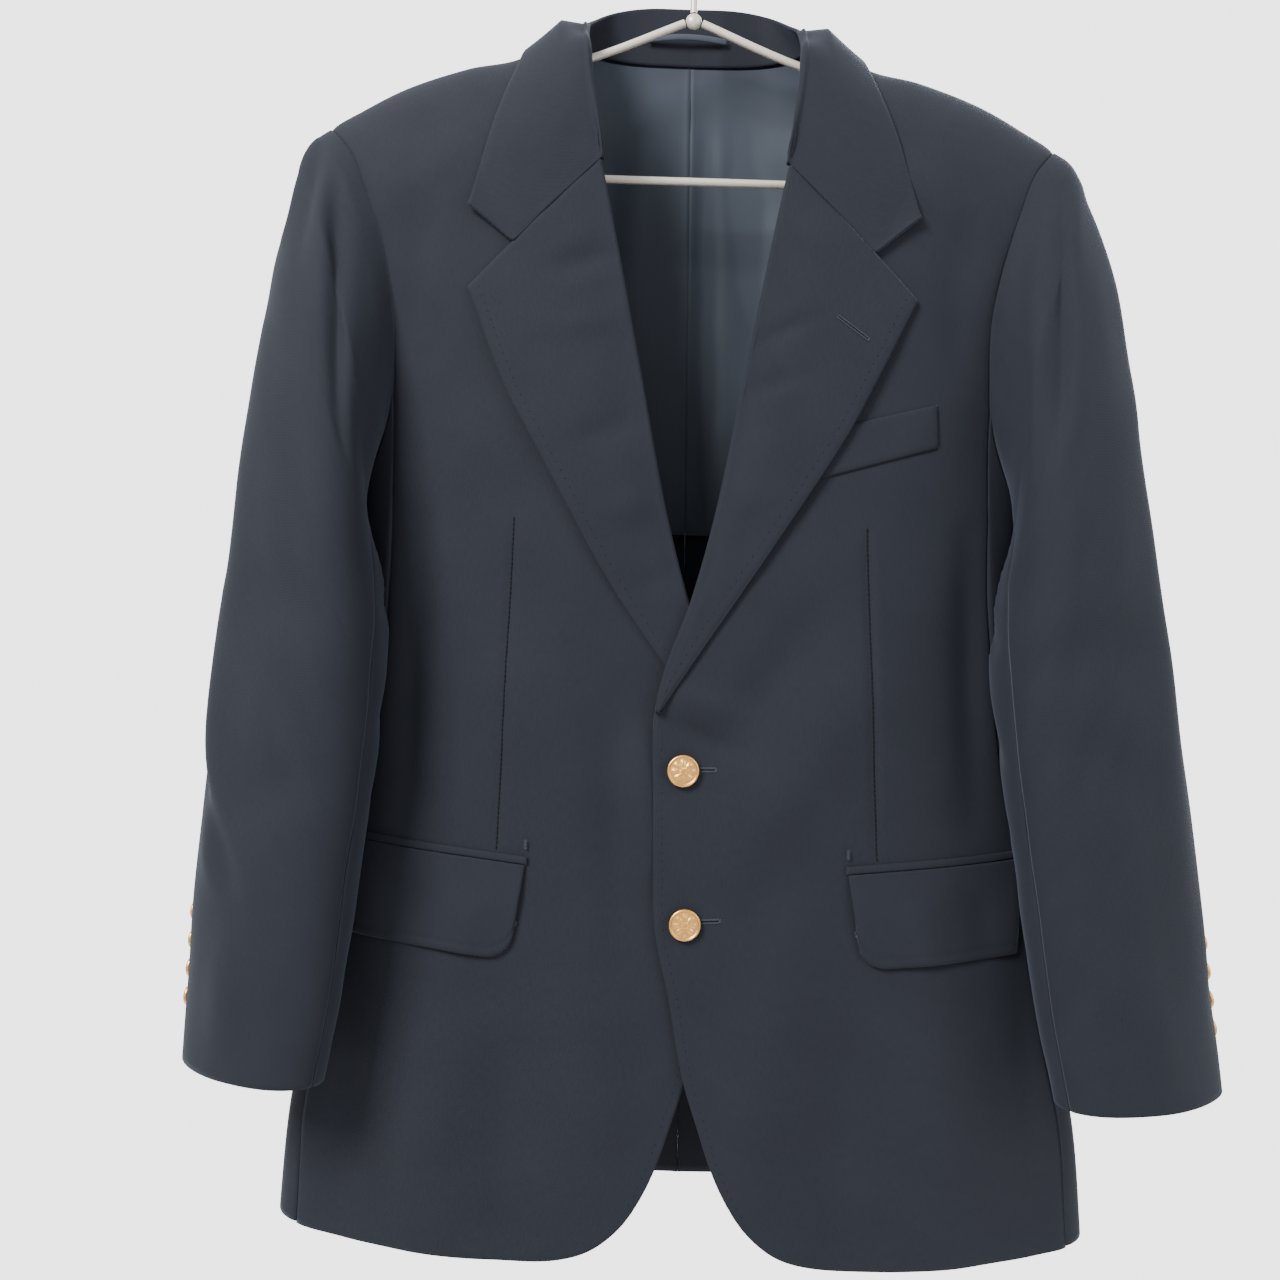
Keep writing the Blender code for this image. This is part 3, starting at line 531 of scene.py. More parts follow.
def outer_limit(z):
    if z > SIDE_TOP_Z:
        return read_table(ARMHOLE, z)
    return read_table(SIDE_SEAM, z) * half_width(z)


def eased_share(v, top_share=0.135, ease=0.26):
    """Rows bunched where the shoulder rounds over."""
    if v < ease:
        return top_share * (1 - math.cos(math.pi / 2 * v / ease))
    return lerp(top_share, 1.0, (v - ease) / (1 - ease))


def dart_dip(x, z):
    t = (z - DART_TOP[1]) / (DART_FOOT[1] - DART_TOP[1])
    if t < -0.02 or t > 1.02:
        return 0.0
    line = lerp(DART_TOP[0], DART_FOOT[0], t)
    along = math.sin(math.pi * min(max(t, 0.0), 1.0)) ** 0.3
    return -0.0016 * math.exp(-((x - line) / 0.0026) ** 2) * along


def front_relief(x, z, side):
    return (crease_height(FRONT_CREASES[side], x, z) + wander(x, z, 3.0 * side)) * below_ridge(x, z)


def front_place(x, z, side, out=0.0):
    y = body_y(x, z) + lap_shift(x, z, side)
    place = Vector((x, y, z)) + skin_normal(x, z) * (out + front_relief(x, z, side))
    return mirrored(place, side)


def edge_dip(distance):
    return -EDGE_DIP * math.exp(-(distance / 0.0022) ** 2)


def rim_dip(distance, reach=0.0016, drop=0.0007):
    """A turned edge rounds off towards its rim."""
    return -drop * math.exp(-(distance / reach) ** 2)


def front_edge_x(z):
    """The panel stops short of the lapel's rolled fold, and reaches the edge below the break."""
    return read_table(FRONT_EDGE, z) + (ROLL_RADIUS + 0.0004) * smooth((z - BREAK_Z - 0.004) / 0.02)


def front_spot(side, u, v):
    share = eased_share(v)
    inner_z = lerp(read_table(SHOULDER_LINE, NECK_POINT_X), FRONT_HEM[0][1], share)
    outer_z = lerp(read_table(SHOULDER_LINE, SHOULDER_TIP_X), SIDE_HEM_Z, share)
    inner_x = front_edge_x(inner_z)
    outer_x = outer_limit(outer_z)
    x = lerp(inner_x, outer_x, u)
    top = read_table(SHOULDER_LINE, lerp(NECK_POINT_X, SHOULDER_TIP_X, u))
    low = read_table(FRONT_HEM, lerp(FRONT_HEM[0][0], outer_x, u))
    z = lerp(top, low, share)
    nip = dart_dip(x, z) + edge_dip(outer_x - x)
    return front_place(x, z, side, nip)


for (side, tag), node in zip(SIDES, ("front_left_over", "front_right_under")):
    name = FRONT_OF[side]
    panel = cloth(name, 84, 210, lambda u, v: front_spot(side, u, v), WOOL, FRONT_HINTS, NAVY)
    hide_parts(node)

# %% [markdown]
# ## Backs and side panels
# Two back panels meet in a centre seam and have no vent. A side panel passes under each arm.
# The pieces could be one tube, but a jacket's shape comes from these seams, so each is its own
# sheet with its edges dipped where it is sewn.


# %% Backs and side panels
def back_spot(side, u, v):
    share = eased_share(v)
    outer_z = lerp(read_table(SHOULDER_LINE, SHOULDER_TIP_X), BACK_HEM_Z, share)
    outer_x = outer_limit(outer_z)
    x = outer_x * u
    top = min(read_table(SHOULDER_LINE, lerp(0.0, SHOULDER_TIP_X, u)), BACK_NECK_Z)
    z = lerp(top, BACK_HEM_Z, share)
    relief = crease_height(BACK_CREASES, x, z) + wander(x, z, 9.0 * side)
    relief += edge_dip(outer_x - x) + edge_dip(x)
    relief *= below_ridge(x, z)
    place = Vector((x, body_y(x, z, True), z)) + skin_normal(x, z, True) * relief
    return mirrored(place, side)


def skin_angle(x, z):
    return math.asin(min(x / half_width(z), 1.0) ** (ROUND_POWER / 2))


def section_place(angle, z):
    """A place on the body's section: angle 0 at the centre front and pi at the centre back."""
    x = half_width(z) * math.sin(angle) ** (2 / ROUND_POWER)
    depth = math.copysign(abs(math.cos(angle)) ** (2 / ROUND_POWER), -math.cos(angle))
    return x, depth * (FRONT_DEPTH if depth < 0 else BACK_DEPTH)


def armhole_place(angle):
    z = lerp(ARMPIT_Z, ARMHOLE[0][0], (1 + math.cos(angle)) / 2)
    x = read_table(ARMHOLE, z)
    return Vector((x, body_y(x, z, math.sin(angle) > 0), z))


ARM_SWING = math.acos((2 * (SIDE_TOP_Z - ARMPIT_Z) / (ARMHOLE[0][0] - ARMPIT_Z)) - 1)


def side_spot(side, u, v):
    top = armhole_place(lerp(-ARM_SWING, ARM_SWING - math.tau, u))
    z = lerp(top.z, lerp(SIDE_HEM_Z, BACK_HEM_Z, u), v)
    seam = math.asin(read_table(SIDE_SEAM, z) ** (ROUND_POWER / 2)) + 0.0004
    start = skin_angle(top.x, top.z)
    start = start if u <= 0.5 else math.pi - start
    start = min(max(start, seam), math.pi - seam)
    angle = lerp(start, lerp(seam, math.pi - seam, u), smooth(v * 3))
    x, y = section_place(angle, z)
    rise = crease_height(SIDE_CREASES, u, z, 0.09, 1.0) + edge_dip(u * 0.09) + edge_dip((1 - u) * 0.09)
    rise *= smooth(v * 6)
    outward = Vector((math.sin(angle), -math.cos(angle), 0))
    place = Vector((x, y, z)) + outward * rise
    return mirrored(place, side)


for side, tag in SIDES:
    back = cloth("back_panel_" + tag, 72, 200, lambda u, v: back_spot(side, u, v), WOOL, BACK_HINTS, NAVY)
    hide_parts("back_" + tag)
    flank = cloth("flank_" + tag, 30, 140, lambda u, v: side_spot(side, u, v), WOOL,
                  Vector((side, 0, 0)), NAVY)
    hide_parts("side_panel_" + tag)

# %% [markdown]
# ## Sleeves
# A tailored sleeve has two parts, a wide upper one and a narrow under one, and bends a little
# forward at the elbow. Empty, it flattens and folds: below the armhole where the arm would be,
# at the elbow, and above the cuff. Places on it are given by a share of its length and an
# angle round it, with the front at negative angles.


# %% Sleeves
# outer z, outer x, inner z, inner x, centre y, half depth, skew, inward bow of a sleeve ring
SLEEVE_RINGS = [
    (-0.208, 0.2490, -0.434, 0.1985, -0.018, 0.060, 0.010, 0.020),
    (-0.267, 0.2630, -0.476, 0.1860, -0.033, 0.060, 0.016, 0.008),
    (-0.354, 0.2745, -0.523, 0.1830, -0.045, 0.056, 0.020, 0.000),
    (-0.452, 0.2860, -0.582, 0.1880, -0.052, 0.050, 0.020, 0.000),
    (-0.557, 0.3000, -0.645, 0.1965, -0.055, 0.045, 0.020, 0.000),
    (-0.662, 0.3117, -0.712, 0.2065, -0.057, 0.039, 0.018, 0.000),
    (-0.760, 0.3192, -0.7640, 0.2170, -0.060, 0.034, 0.016, 0.000),
]
SLEEVE_TABLE = [(float(i), *row) for i, row in enumerate(SLEEVE_RINGS)]
SLEEVE_LEAN = {1: (0.010, 0.002), -1: (-0.012, -0.003)}
SLEEVE_CLEAR_TOP = 0.0053
SLEEVE_CLEAR = 0.0065
SLEEVE_SPANS = {"upper_sleeve": (-158, 75, 120), "under_sleeve": (75, 202, 56)}
SLEEVE_LENGTH = 0.60
ALLOWANCE_SHARE = 0.02
SLEEVE_HALF_GIRTH = 0.055


def push_clear(place, clear):
    """Move a sleeve's place out of the body, so the sleeve lies pressed along its side."""
    wide = half_width(min(place.z, ARMPIT_Z + 0.02)) + clear
    deep = (FRONT_DEPTH if place.y < 0 else BACK_DEPTH) + clear
    inside = (abs(place.x) / wide) ** ROUND_POWER + (abs(place.y) / deep) ** ROUND_POWER
    if inside >= 1:
        return place
    grow = inside ** (-1 / ROUND_POWER)
    return Vector((place.x * grow, place.y * grow, place.z))


def ring_place(station, angle):
    out_z, out_x, in_z, in_x, mid_y, deep, skew, bow = (
        read_table(SLEEVE_TABLE, station, column) for column in range(1, 9))
    c, s = math.cos(angle), math.sin(angle)
    x = (out_x + in_x) / 2 + (out_x - in_x) / 2 * c - bow * max(0.0, -s) ** 2
    z = (out_z + in_z) / 2 + (out_z - in_z) / 2 * c
    return Vector((x, mid_y + deep * s + skew * c, z))


def sleeve_place(share, angle, side):
    """A place on the sleeve's outer skin: share 0 at the armhole, 1 at the cuff."""
    station = share * len(SLEEVE_RINGS) - 1
    if station < 0:
        seam = armhole_place(angle)
        away = Vector((1.0, 0.0, 0.4 if math.cos(angle) < 0 else 0.1)).normalized()
        seam = seam + away * 0.0004
        w = station + 1
        place = seam.lerp(push_clear(ring_place(0.0, angle), SLEEVE_CLEAR_TOP), w)
        if place.z < SIDE_TOP_Z + 0.01:
            place = push_clear(place, 0.0008 + 0.0045 * w)
        puff = 0.004 * math.sin(math.pi * min(w, 1.0)) * max(0.0, math.cos(angle))
        place = place + Vector((puff, 0, puff))
    else:
        place = ring_place(station, angle)
        place = push_clear(place, lerp(SLEEVE_CLEAR_TOP, SLEEVE_CLEAR, smooth(station)))
        run = station / (len(SLEEVE_RINGS) - 1)
        lean = lerp(SLEEVE_LEAN[side][1], SLEEVE_LEAN[side][0], (1 + math.cos(angle)) / 2)
        place = place + Vector((lean * smooth(run) * run, 0, 0))
    return mirrored(place, side)


print("sleeve rings", len(SLEEVE_RINGS))

# %% [markdown]
# ## Sleeve cloth
# The rings give the form, and the cloth adds its creases along the form's normal. The first
# rows are the seam allowance, tucked under the body's panels, so no light shows at the armhole.


# %% Sleeve cloth
def sleeve_normal(share, angle, side):
    across = sleeve_place(share, angle + 0.05, side) - sleeve_place(share, angle - 0.05, side)
    down = sleeve_place(min(share + 0.02, 1), angle, side)
    down = down - sleeve_place(max(share - 0.02, 0), angle, side)
    return across.cross(down).normalized() * -side


def sleeve_skin(share, angle, side, out=0.0):
    degrees = math.degrees(angle)
    metres = SLEEVE_HALF_GIRTH * math.pi / 180
    relief = crease_height(SLEEVE_CREASES[side], share, degrees, SLEEVE_LENGTH, metres)
    relief += wander(share * SLEEVE_LENGTH, angle * 0.06, 17.0 * side, 0.05, 0.0011)
    relief *= smooth(share / 0.05)
    return sleeve_place(share, angle, side) + sleeve_normal(share, angle, side) * (relief + out)


def sleeve_spot(side, start, end, u, v):
    """The sleeve's first rows are its seam allowance, which lies under the body's panels."""
    angle = math.radians(lerp(start, end, u))
    girth = (end - start) * SLEEVE_HALF_GIRTH * math.pi / 180
    dip = edge_dip(u * girth) + edge_dip((1 - u) * girth)
    if v >= ALLOWANCE_SHARE:
        return sleeve_skin(((v - ALLOWANCE_SHARE) / (1 - ALLOWANCE_SHARE)) ** 1.1, angle, side, dip)
    t = 1 - v / ALLOWANCE_SHARE
    seam = armhole_place(angle)
    under = skin_normal(seam.x, seam.z, math.sin(angle) > 0) * -(WOOL + 0.0009) * smooth(t * 2)
    inward = Vector((-0.0050 * t, 0, 0.0030 * t if math.cos(angle) < -0.5 else 0))
    inner = seam + under + inward
    first = sleeve_skin(0.0, angle, side, dip)
    return first.lerp(Vector((inner.x * side, inner.y, inner.z)), smooth(t * 1.6))


for side, tag in SIDES:
    for part, (start, end, count) in SLEEVE_SPANS.items():
        middle = math.radians((start + end) / 2)
        hint = Vector((math.cos(middle) * side, math.sin(middle), 0))
        name = part.replace("_sleeve", "_arm_") + tag
        sleeve = cloth(name, count, 170, lambda u, v: sleeve_spot(side, start, end, u, v),
                       WOOL, hint, NAVY)
        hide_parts(part + "_" + tag)

# %% [markdown]
# ## Lapels
# A lapel is the top of the front turned back along the roll line, so it has no seam there. The
# sheet starts behind the front's inner edge, goes round a small roll and lies out to the notch
# and the point. The roll is full at the chest and flattens at the top button.

# %% Lapels
# height, distance of the lapel's outer edge on the over and on the under front
LAPEL_EDGE = {
    1: [(-0.286, 0.1365), (-0.351, 0.1040), (-0.369, 0.0945), (-0.442, 0.0480), (-0.517, -0.0020),
        (-0.541, -0.0175)],
    -1: [(-0.286, 0.1375), (-0.354, 0.1100), (-0.372, 0.1000), (-0.412, 0.0780), (-0.460, 0.0510),
         (-0.512, 0.0150), (-0.541, -0.0080)],
}
ROLL_SHARE = 0.16
ROLL_TUCK = 0.0021


def lapel_out(u, v):
    """How far a lapel's outer skin stands off its front."""
    along = lerp(0.30, 1.0, smooth(v / 0.2)) * (1 - smooth((v - 0.35) / 0.5))
    stand_off = 0.0026 * smooth(u / 0.45) * along
    return REST_GAP + LAPEL_CLOTH + stand_off + 0.0006 * smooth(u / 0.3)


def lapel_frame(side, v):
    inner_z = lerp(GORGE_Z, BREAK_Z, v)
    outer_z = lerp(LAPEL_POINT_Z, BREAK_Z, v)
    inner_x = read_table(FRONT_EDGE, inner_z)
    outer_x = max(read_table(LAPEL_EDGE[side], outer_z), inner_x + 0.003)
    return inner_x, inner_z, outer_x, outer_z


def lapel_spot(side, u, v):
    inner_x, inner_z, outer_x, outer_z = lapel_frame(side, v)
    out = lapel_out(0.0, v)
    radius = (out + WOOL) / 2
    if u < ROLL_SHARE:
        start = -math.acos(max(0.0, (radius - ROLL_TUCK) / radius))
        angle = lerp(start, math.pi / 2, u / ROLL_SHARE)
        x = inner_x + radius - radius * math.cos(angle)
        z = inner_z
        rise = out - radius + radius * math.sin(angle)
    else:
        t = (u - ROLL_SHARE) / (1 - ROLL_SHARE)
        x = lerp(inner_x + radius, outer_x, t)
        z = lerp(inner_z, outer_z, t)
        width = outer_x - inner_x
        rise = lapel_out(t, v) + crease_height(LAPEL_CREASES[side], t, z, width, 1.0)
        rise += wander(x, z, 23.0 * side, 0.03, 0.0005) * smooth(t * 5)
        rise += rim_dip((1 - t) * width) + rim_dip(v * 0.33)
    y = body_y(max(x, 0.0), z) + lap_shift(x, z, side)
    place = Vector((x, y, z)) + skin_normal(x, z) * rise
    return mirrored(place, side)


for side, tag in SIDES:
    lapel = cloth("lapel_roll_" + tag, 84, 150, lambda u, v: lapel_spot(side, u, v), LAPEL_CLOTH,
                  FRONT_HINTS, NAVY)
    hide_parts("lapel_" + tag)

# %% [markdown]
# ## Collar
# The collar is one piece too. Its stand rises inside the neck, the cloth turns over at the
# fold, and the leaf falls outside as far as the gorge and the notch. Only the stand's inner
# face and the leaf's outer face are ever seen, and both are the same side of the cloth.

# %% Collar
STAND_CLOTH = 0.0014
# station along the collar from the centre back, then x, y, z of its fold
COLLAR_FOLD = [
    (0.00, 0.000, 0.0470, -0.0670), (0.12, 0.030, 0.0455, -0.0680), (0.25, 0.055, 0.0370, -0.0760),
    (0.36, 0.067, 0.0190, -0.0890), (0.46, 0.071, -0.0020, -0.1020), (0.58, 0.070, -0.0330, -0.1270),
    (0.75, 0.066, -0.0530, -0.165), (1.00, 0.057, -0.0570, -0.2062),
]
# station along the collar, then x, y, z of the leaf's outer edge
COLLAR_RIM = [
    (0.00, 0.000, 0.0530, -0.1130), (0.12, 0.045, 0.0530, -0.1140), (0.25, 0.082, 0.0450, -0.1160),
    (0.36, 0.100, 0.0280, -0.1170), (0.46, 0.108, 0.0020, -0.1180), (0.58, 0.110, -0.0260, -0.1420),
    (0.75, 0.121, -0.0490, -0.1760), (1.00, 0.137, -0.0575, -0.2350),
]
NOTCH = (0.110, -0.2585)
NOTCH_TURN = 0.66
# station along the collar, then x, z of the stand's lower edge
STAND_FOOT = [
    (0.00, 0.000, -0.1030), (0.12, 0.035, -0.1030), (0.25, 0.064, -0.1030), (0.36, 0.078, -0.1032),
    (0.46, 0.0825, -0.1052), (0.58, 0.0745, -0.1240),
]
STAND_SHARE = 0.26
FOLD_SHARE = 0.40


def table_place(table, station):
    return Vector([read_table(table, station, column) for column in (1, 2, 3)])


print("collar stations", len(COLLAR_FOLD))

# %% [markdown]
# ## Collar cloth
# The leaf has to lie on the shoulders without cutting into them, so each of its places is
# lifted clear of the block. The stand, the fold and the leaf are then one sheet, v running
# from the stand's foot to the leaf's rim.


# %% Collar cloth
def clear_front(place, out):
    """Lift a place off the panels and the shoulder ridge to at least a distance of out."""
    neck = lerp(abs(place.x), max(abs(place.x), NECK_POINT_X), smooth((place.z + 0.150) / 0.030))
    centre_z = read_table(SHOULDER_LINE, neck) - SHOULDER_ROUND
    reach = (1 - min(abs(place.x) / half_width(place.z), 1.0) ** ROUND_POWER) ** (1 / ROUND_POWER)
    out = lerp(out, out * RIDGE_CLEARANCE, smooth((place.z - centre_z) / 0.04))
    deep = (BACK_DEPTH if place.y > 0 else FRONT_DEPTH) * reach + out
    high = SHOULDER_ROUND + out
    over = max(place.z - centre_z, 0.0) / high
    size = math.hypot(place.y / deep, over)
    if size >= 1:
        return place
    if over == 0:
        return Vector((place.x, math.copysign(deep, place.y), place.z))
    return Vector((place.x, place.y / size, centre_z + over * high / size))


def collar_end(u):
    """The collar's front end: the gorge seam to the notch, then the leaf's short edge."""
    fold_x, fold_z = COLLAR_FOLD[-1][1], COLLAR_FOLD[-1][3]
    tip_x, tip_z = COLLAR_RIM[-1][1], COLLAR_RIM[-1][3]
    if u < NOTCH_TURN:
        return lerp(fold_x, NOTCH[0], u / NOTCH_TURN), lerp(fold_z, NOTCH[1], u / NOTCH_TURN)
    t = (u - NOTCH_TURN) / (1 - NOTCH_TURN)
    return lerp(NOTCH[0], tip_x, t), lerp(NOTCH[1], tip_z, t)


def leaf_place(station, u):
    place = table_place(COLLAR_FOLD, station).lerp(table_place(COLLAR_RIM, station), u)
    lift = 0.006 * math.sin(math.pi * u) * (1 - smooth((station - 0.45) / 0.2))
    place = place + Vector((lift * smooth(station / 0.3), lift * (1 - smooth(station / 0.4)), lift * 0.6))
    bend = max(0.0, (station - 0.60) / 0.40) ** 1.6
    x, z = collar_end(u)
    place = Vector((lerp(place.x, x, bend), place.y, lerp(place.z, z, bend)))
    edge = -rim_dip((1 - u) * 0.05) - rim_dip((1 - station) * 0.19)
    relief = wander(place.x * 1.3, station * 0.3, 31.0, 0.03, 0.0007) * math.sin(math.pi * u)
    return clear_front(place, COLLAR_CLOTH + REST_GAP + 0.0016 * math.sin(math.pi * u) - edge + relief)


def stand_ends(station):
    """The stand's top, just inside the fold, and its foot."""
    fold = table_place(COLLAR_FOLD, station)
    before = table_place(COLLAR_FOLD, max(station - 0.01, 0))
    ahead = table_place(COLLAR_FOLD, min(station + 0.01, 1)) - before
    inward = Vector((ahead.y, -ahead.x, 0)).normalized()
    top = fold + inward * (COLLAR_CLOTH + REST_GAP + STAND_CLOTH)
    foot_x = read_table(STAND_FOOT, min(station, 0.58), 1)
    foot_z = read_table(STAND_FOOT, min(station, 0.58), 2)
    back = station < 0.46
    skin = body_y(foot_x, foot_z, back)
    foot = Vector((foot_x - 0.0010, skin - 0.0026 if back else skin + 0.0030, foot_z - 0.0024))
    tuck = Vector((fold.x + 0.0035, fold.y + 0.0050, fold.z))
    return top, foot.lerp(tuck, smooth((station - 0.50) / 0.20))


def collar_spot(u, v):
    signed = 2 * u - 1
    station = abs(signed)
    top, foot = stand_ends(station)
    start = leaf_place(station, 0.0)
    if v < STAND_SHARE:
        place = foot.lerp(top, v / STAND_SHARE)
    elif v < FOLD_SHARE:
        turn = math.pi * (v - STAND_SHARE) / (FOLD_SHARE - STAND_SHARE)
        middle = (top + start) / 2
        arm = (top - start) / 2
        rise = Vector((0, 0, 1)).lerp(Vector((-0.45, -0.8, 0.35)), smooth((station - 0.3) / 0.4))
        rise = rise.normalized()
        place = middle + arm * math.cos(turn) + rise * arm.length * 0.9 * math.sin(turn)
    else:
        place = leaf_place(station, (v - FOLD_SHARE) / (1 - FOLD_SHARE))
    return Vector((math.copysign(place.x, signed) if signed else 0.0, place.y, place.z))


collar = cloth("collar", 220, 72, collar_spot, COLLAR_CLOTH, BACK_HINTS, NAVY)
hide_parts("collar_leaf", "collar_stand")

# %% [markdown]
# ## Lining and neck loop
# Inside the neck shows the half lining: a satin sheet on each back panel, meeting in a small
# pleat at the centre and hemmed at chest height. A loop of the same satin is tacked across the
# stand, to hang the jacket from a peg.

# %% Lining and loop
LINING_CLOTH = 0.0008
LINING_CREASES = {
    1: [(0.030, -0.130, 0.050, -0.300, 0.0014, 0.014), (0.085, -0.140, 0.070, -0.420, -0.0016, 0.016),
        (0.012, -0.120, 0.016, -0.420, 0.0018, 0.006), (0.125, -0.200, 0.130, -0.420, 0.0016, 0.015)],
    -1: [(0.026, -0.125, 0.040, -0.260, -0.0012, 0.012), (0.060, -0.140, 0.062, -0.400, 0.0016, 0.016),
         (0.100, -0.160, 0.110, -0.420, -0.0016, 0.016)],
}
LINING_LEAST = 0.0012


def lining_spot(side, u, v):
    share = eased_share(v, 0.22)
    wide = lerp(0.205, 0.160, smooth(share * 1.6))
    x = wide * u
    top = min(read_table(SHOULDER_LINE, x) - 0.012, BACK_NECK_Z - 0.003)
    z = lerp(top, LINING_HEM_Z, share)
    inside = WOOL + LINING_LEAST + 0.0040 * (1 - shoulder_share(x, z) ** 2)
    full = smooth(share * 5) * smooth((1 - u) * 6)
    relief = crease_height(LINING_CREASES[side], x, z) + wander(x, z, 41.0 * side, 0.03, 0.0009)
    inside -= min(relief, 0.0016) * full
    inside -= crease_height(BACK_CREASES, x, z) * below_ridge(x, z)
    inside += 0.0030 * full + 0.0009 * math.exp(-(x / 0.0025) ** 2)
    inside += 0.0007 * math.exp(-((z - LINING_HEM_Z - 0.006) / 0.0040) ** 2)
    place = Vector((x, body_y(x, z, True), z)) - skin_normal(x, z, True) * inside
    return mirrored(place, side)


for side, tag in SIDES:
    lining = cloth("half_lining_" + tag, 70, 110, lambda u, v: lining_spot(side, u, v), LINING_CLOTH,
                   FRONT_HINTS, LINING)
    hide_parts("back_lining_" + tag)

LOOP_ENDS = ((-0.030, -0.0895), (0.024, -0.0895))
LOOP_WIDTH = 0.0042


def loop_spot(u, v):
    x = lerp(LOOP_ENDS[0][0], LOOP_ENDS[1][0], u)
    z = lerp(LOOP_ENDS[0][1], LOOP_ENDS[1][1], u) + 0.0016 * math.sin(math.pi * u) - LOOP_WIDTH * (v - 0.5)
    top, foot = stand_ends(abs(x) / 0.035 * 0.12)
    share = (top.z - z) / (top.z - foot.z)
    sag = 0.0034 + 0.0030 * math.sin(math.pi * u) + 0.0006 * math.sin(math.pi * v)
    return Vector((x, lerp(top.y, foot.y, share) - sag, z))


loop = cloth("neck_loop", 40, 6, loop_spot, 0.0010, FRONT_HINTS, LINING)

# %% [markdown]
# ## Pockets
# Two flap pockets and a breast welt. A flap is a double layer with a turned edge, so its rim
# is rounded, and it hangs from a narrow jet that pipes the pocket's mouth. The welt is a
# slanted strip stitched down at its ends.

# %% Pockets
FLAP_INNER_X = 0.098
FLAP_OUTER_X = 0.206
FLAP_TOP_Z = -0.6365
FLAP_SLOPE = 0.095
FLAP_DEPTH = 0.058
FLAP_CORNER = 0.020
FLAP_CLOTH = 0.0018
JET_HEIGHT = 0.0050
WELT_CORNERS = ((0.0780, -0.3675), (0.1500, -0.3480), (0.1515, -0.3745), (0.0780, -0.3965))
FLAP_CREASES = {
    1: [(0.135, -0.650, 0.150, -0.692, 0.0014, 0.014), (0.178, -0.645, 0.186, -0.690, -0.0009, 0.012)],
    -1: [(0.125, -0.650, 0.132, -0.694, 0.0012, 0.013), (0.168, -0.645, 0.176, -0.688, -0.0010, 0.012)],
}


def flap_top(x):
    return FLAP_TOP_Z + FLAP_SLOPE * (x - FLAP_INNER_X)


def flap_spot(side, u, v):
    x = lerp(FLAP_INNER_X, FLAP_OUTER_X, u)
    near = max(0.0, 1 - (x - FLAP_INNER_X) / FLAP_CORNER)
    depth = FLAP_DEPTH - FLAP_CORNER * (1 - math.sqrt(1 - near**2))
    z = flap_top(x) - depth * v
    width = FLAP_OUTER_X - FLAP_INNER_X
    out = REST_GAP + FLAP_CLOTH + 0.0018 * math.sin(math.pi * v * 0.8)
    out += crease_height(FLAP_CREASES[side], x, z) * smooth(v * 2)
    out += rim_dip((1 - v) * depth) + rim_dip(u * width) + rim_dip((1 - u) * width)
    out -= 0.0005 * math.exp(-(((1 - v) * depth - 0.006) / 0.0012) ** 2)
    return front_place(x + 0.006 * v * (1 - u), z, side, out)


def jet_spot(side, u, v):
    x = lerp(FLAP_INNER_X - 0.001, FLAP_OUTER_X, u)
    z = flap_top(x) + 0.0002 + JET_HEIGHT * (1 - v)
    return front_place(x, z, side, REST_GAP + 0.0008 + 0.0008 * math.sin(math.pi * v) ** 0.5)


def welt_spot(u, v):
    (x0, z0), (x1, z1), (x2, z2), (x3, z3) = WELT_CORNERS
    x = lerp(lerp(x0, x1, u), lerp(x3, x2, u), v)
    z = lerp(lerp(z0, z1, u), lerp(z3, z2, u), v)
    out = REST_GAP + 0.0013 + rim_dip(v * 0.026, 0.0014, 0.0005) + rim_dip((1 - v) * 0.026)
    out += rim_dip(u * 0.075) + rim_dip((1 - u) * 0.075)
    return front_place(x, z, 1, out)


for side, tag in SIDES:
    flap = cloth("flap_" + tag, 64, 40, lambda u, v: flap_spot(side, u, v), FLAP_CLOTH, FRONT_HINTS, NAVY)
    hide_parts("pocket_flap_" + tag)
    jet = cloth("jet_" + tag, 60, 8, lambda u, v: jet_spot(side, u, v), 0.0009, FRONT_HINTS, NAVY)
    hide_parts("pocket_jet_" + tag)
welt = cloth("welt", 48, 20, welt_spot, 0.0012, FRONT_HINTS, NAVY)
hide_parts("breast_welt")

# %% [markdown]
# ## Turned buttons
# The buttons are gilt, cast as a dished disc with a rolled rim. A profile spun about the
# button's axis gives the disc, and a low rosette of petals stands in for the struck motif,
# which belongs to its maker and isn't copied.

# %% Buttons
BUTTON_RADIUS = 0.0100
BUTTON_THICK = 0.0042
BUTTON_PLACES = ((-0.003, -0.576), (-0.001, -0.669))
CUFF_BUTTONS = 4
CUFF_BUTTON_RADIUS = 0.0072
CUFF_BUTTON_THICK = 0.0036
CUFF_BUTTON_STEP = 0.0174
CUFF_BUTTON_FIRST_Z = -0.6755
CUFF_BUTTON_ANGLE = math.radians(14)
PETALS = 8
# share of the radius, share of the thickness
BUTTON_PROFILE = [
    (0.001, 0.00), (0.60, 0.00), (0.78, 0.04), (0.93, 0.20), (0.985, 0.36), (1.00, 0.50), (0.985, 0.66),
    (0.955, 0.78), (0.915, 0.85), (0.875, 0.86), (0.840, 0.81), (0.820, 0.74), (0.800, 0.70), (0.770, 0.70),
    (0.700, 0.74), (0.620, 0.79), (0.540, 0.83), (0.460, 0.86), (0.380, 0.885), (0.300, 0.90),
    (0.240, 0.905), (0.200, 0.93), (0.150, 0.96), (0.090, 0.985), (0.040, 0.995), (0.001, 1.00),
]


def join_meshes(name, makers, look):
    """Several small forms as one mesh; each maker adds its own faces to a bmesh."""
    bm = bmesh.new()
    for maker in makers:
        maker(bm)
    bmesh.ops.recalc_face_normals(bm, faces=bm.faces)
    piece = finished(name, bm, look)
    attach(piece, "root")
    return piece


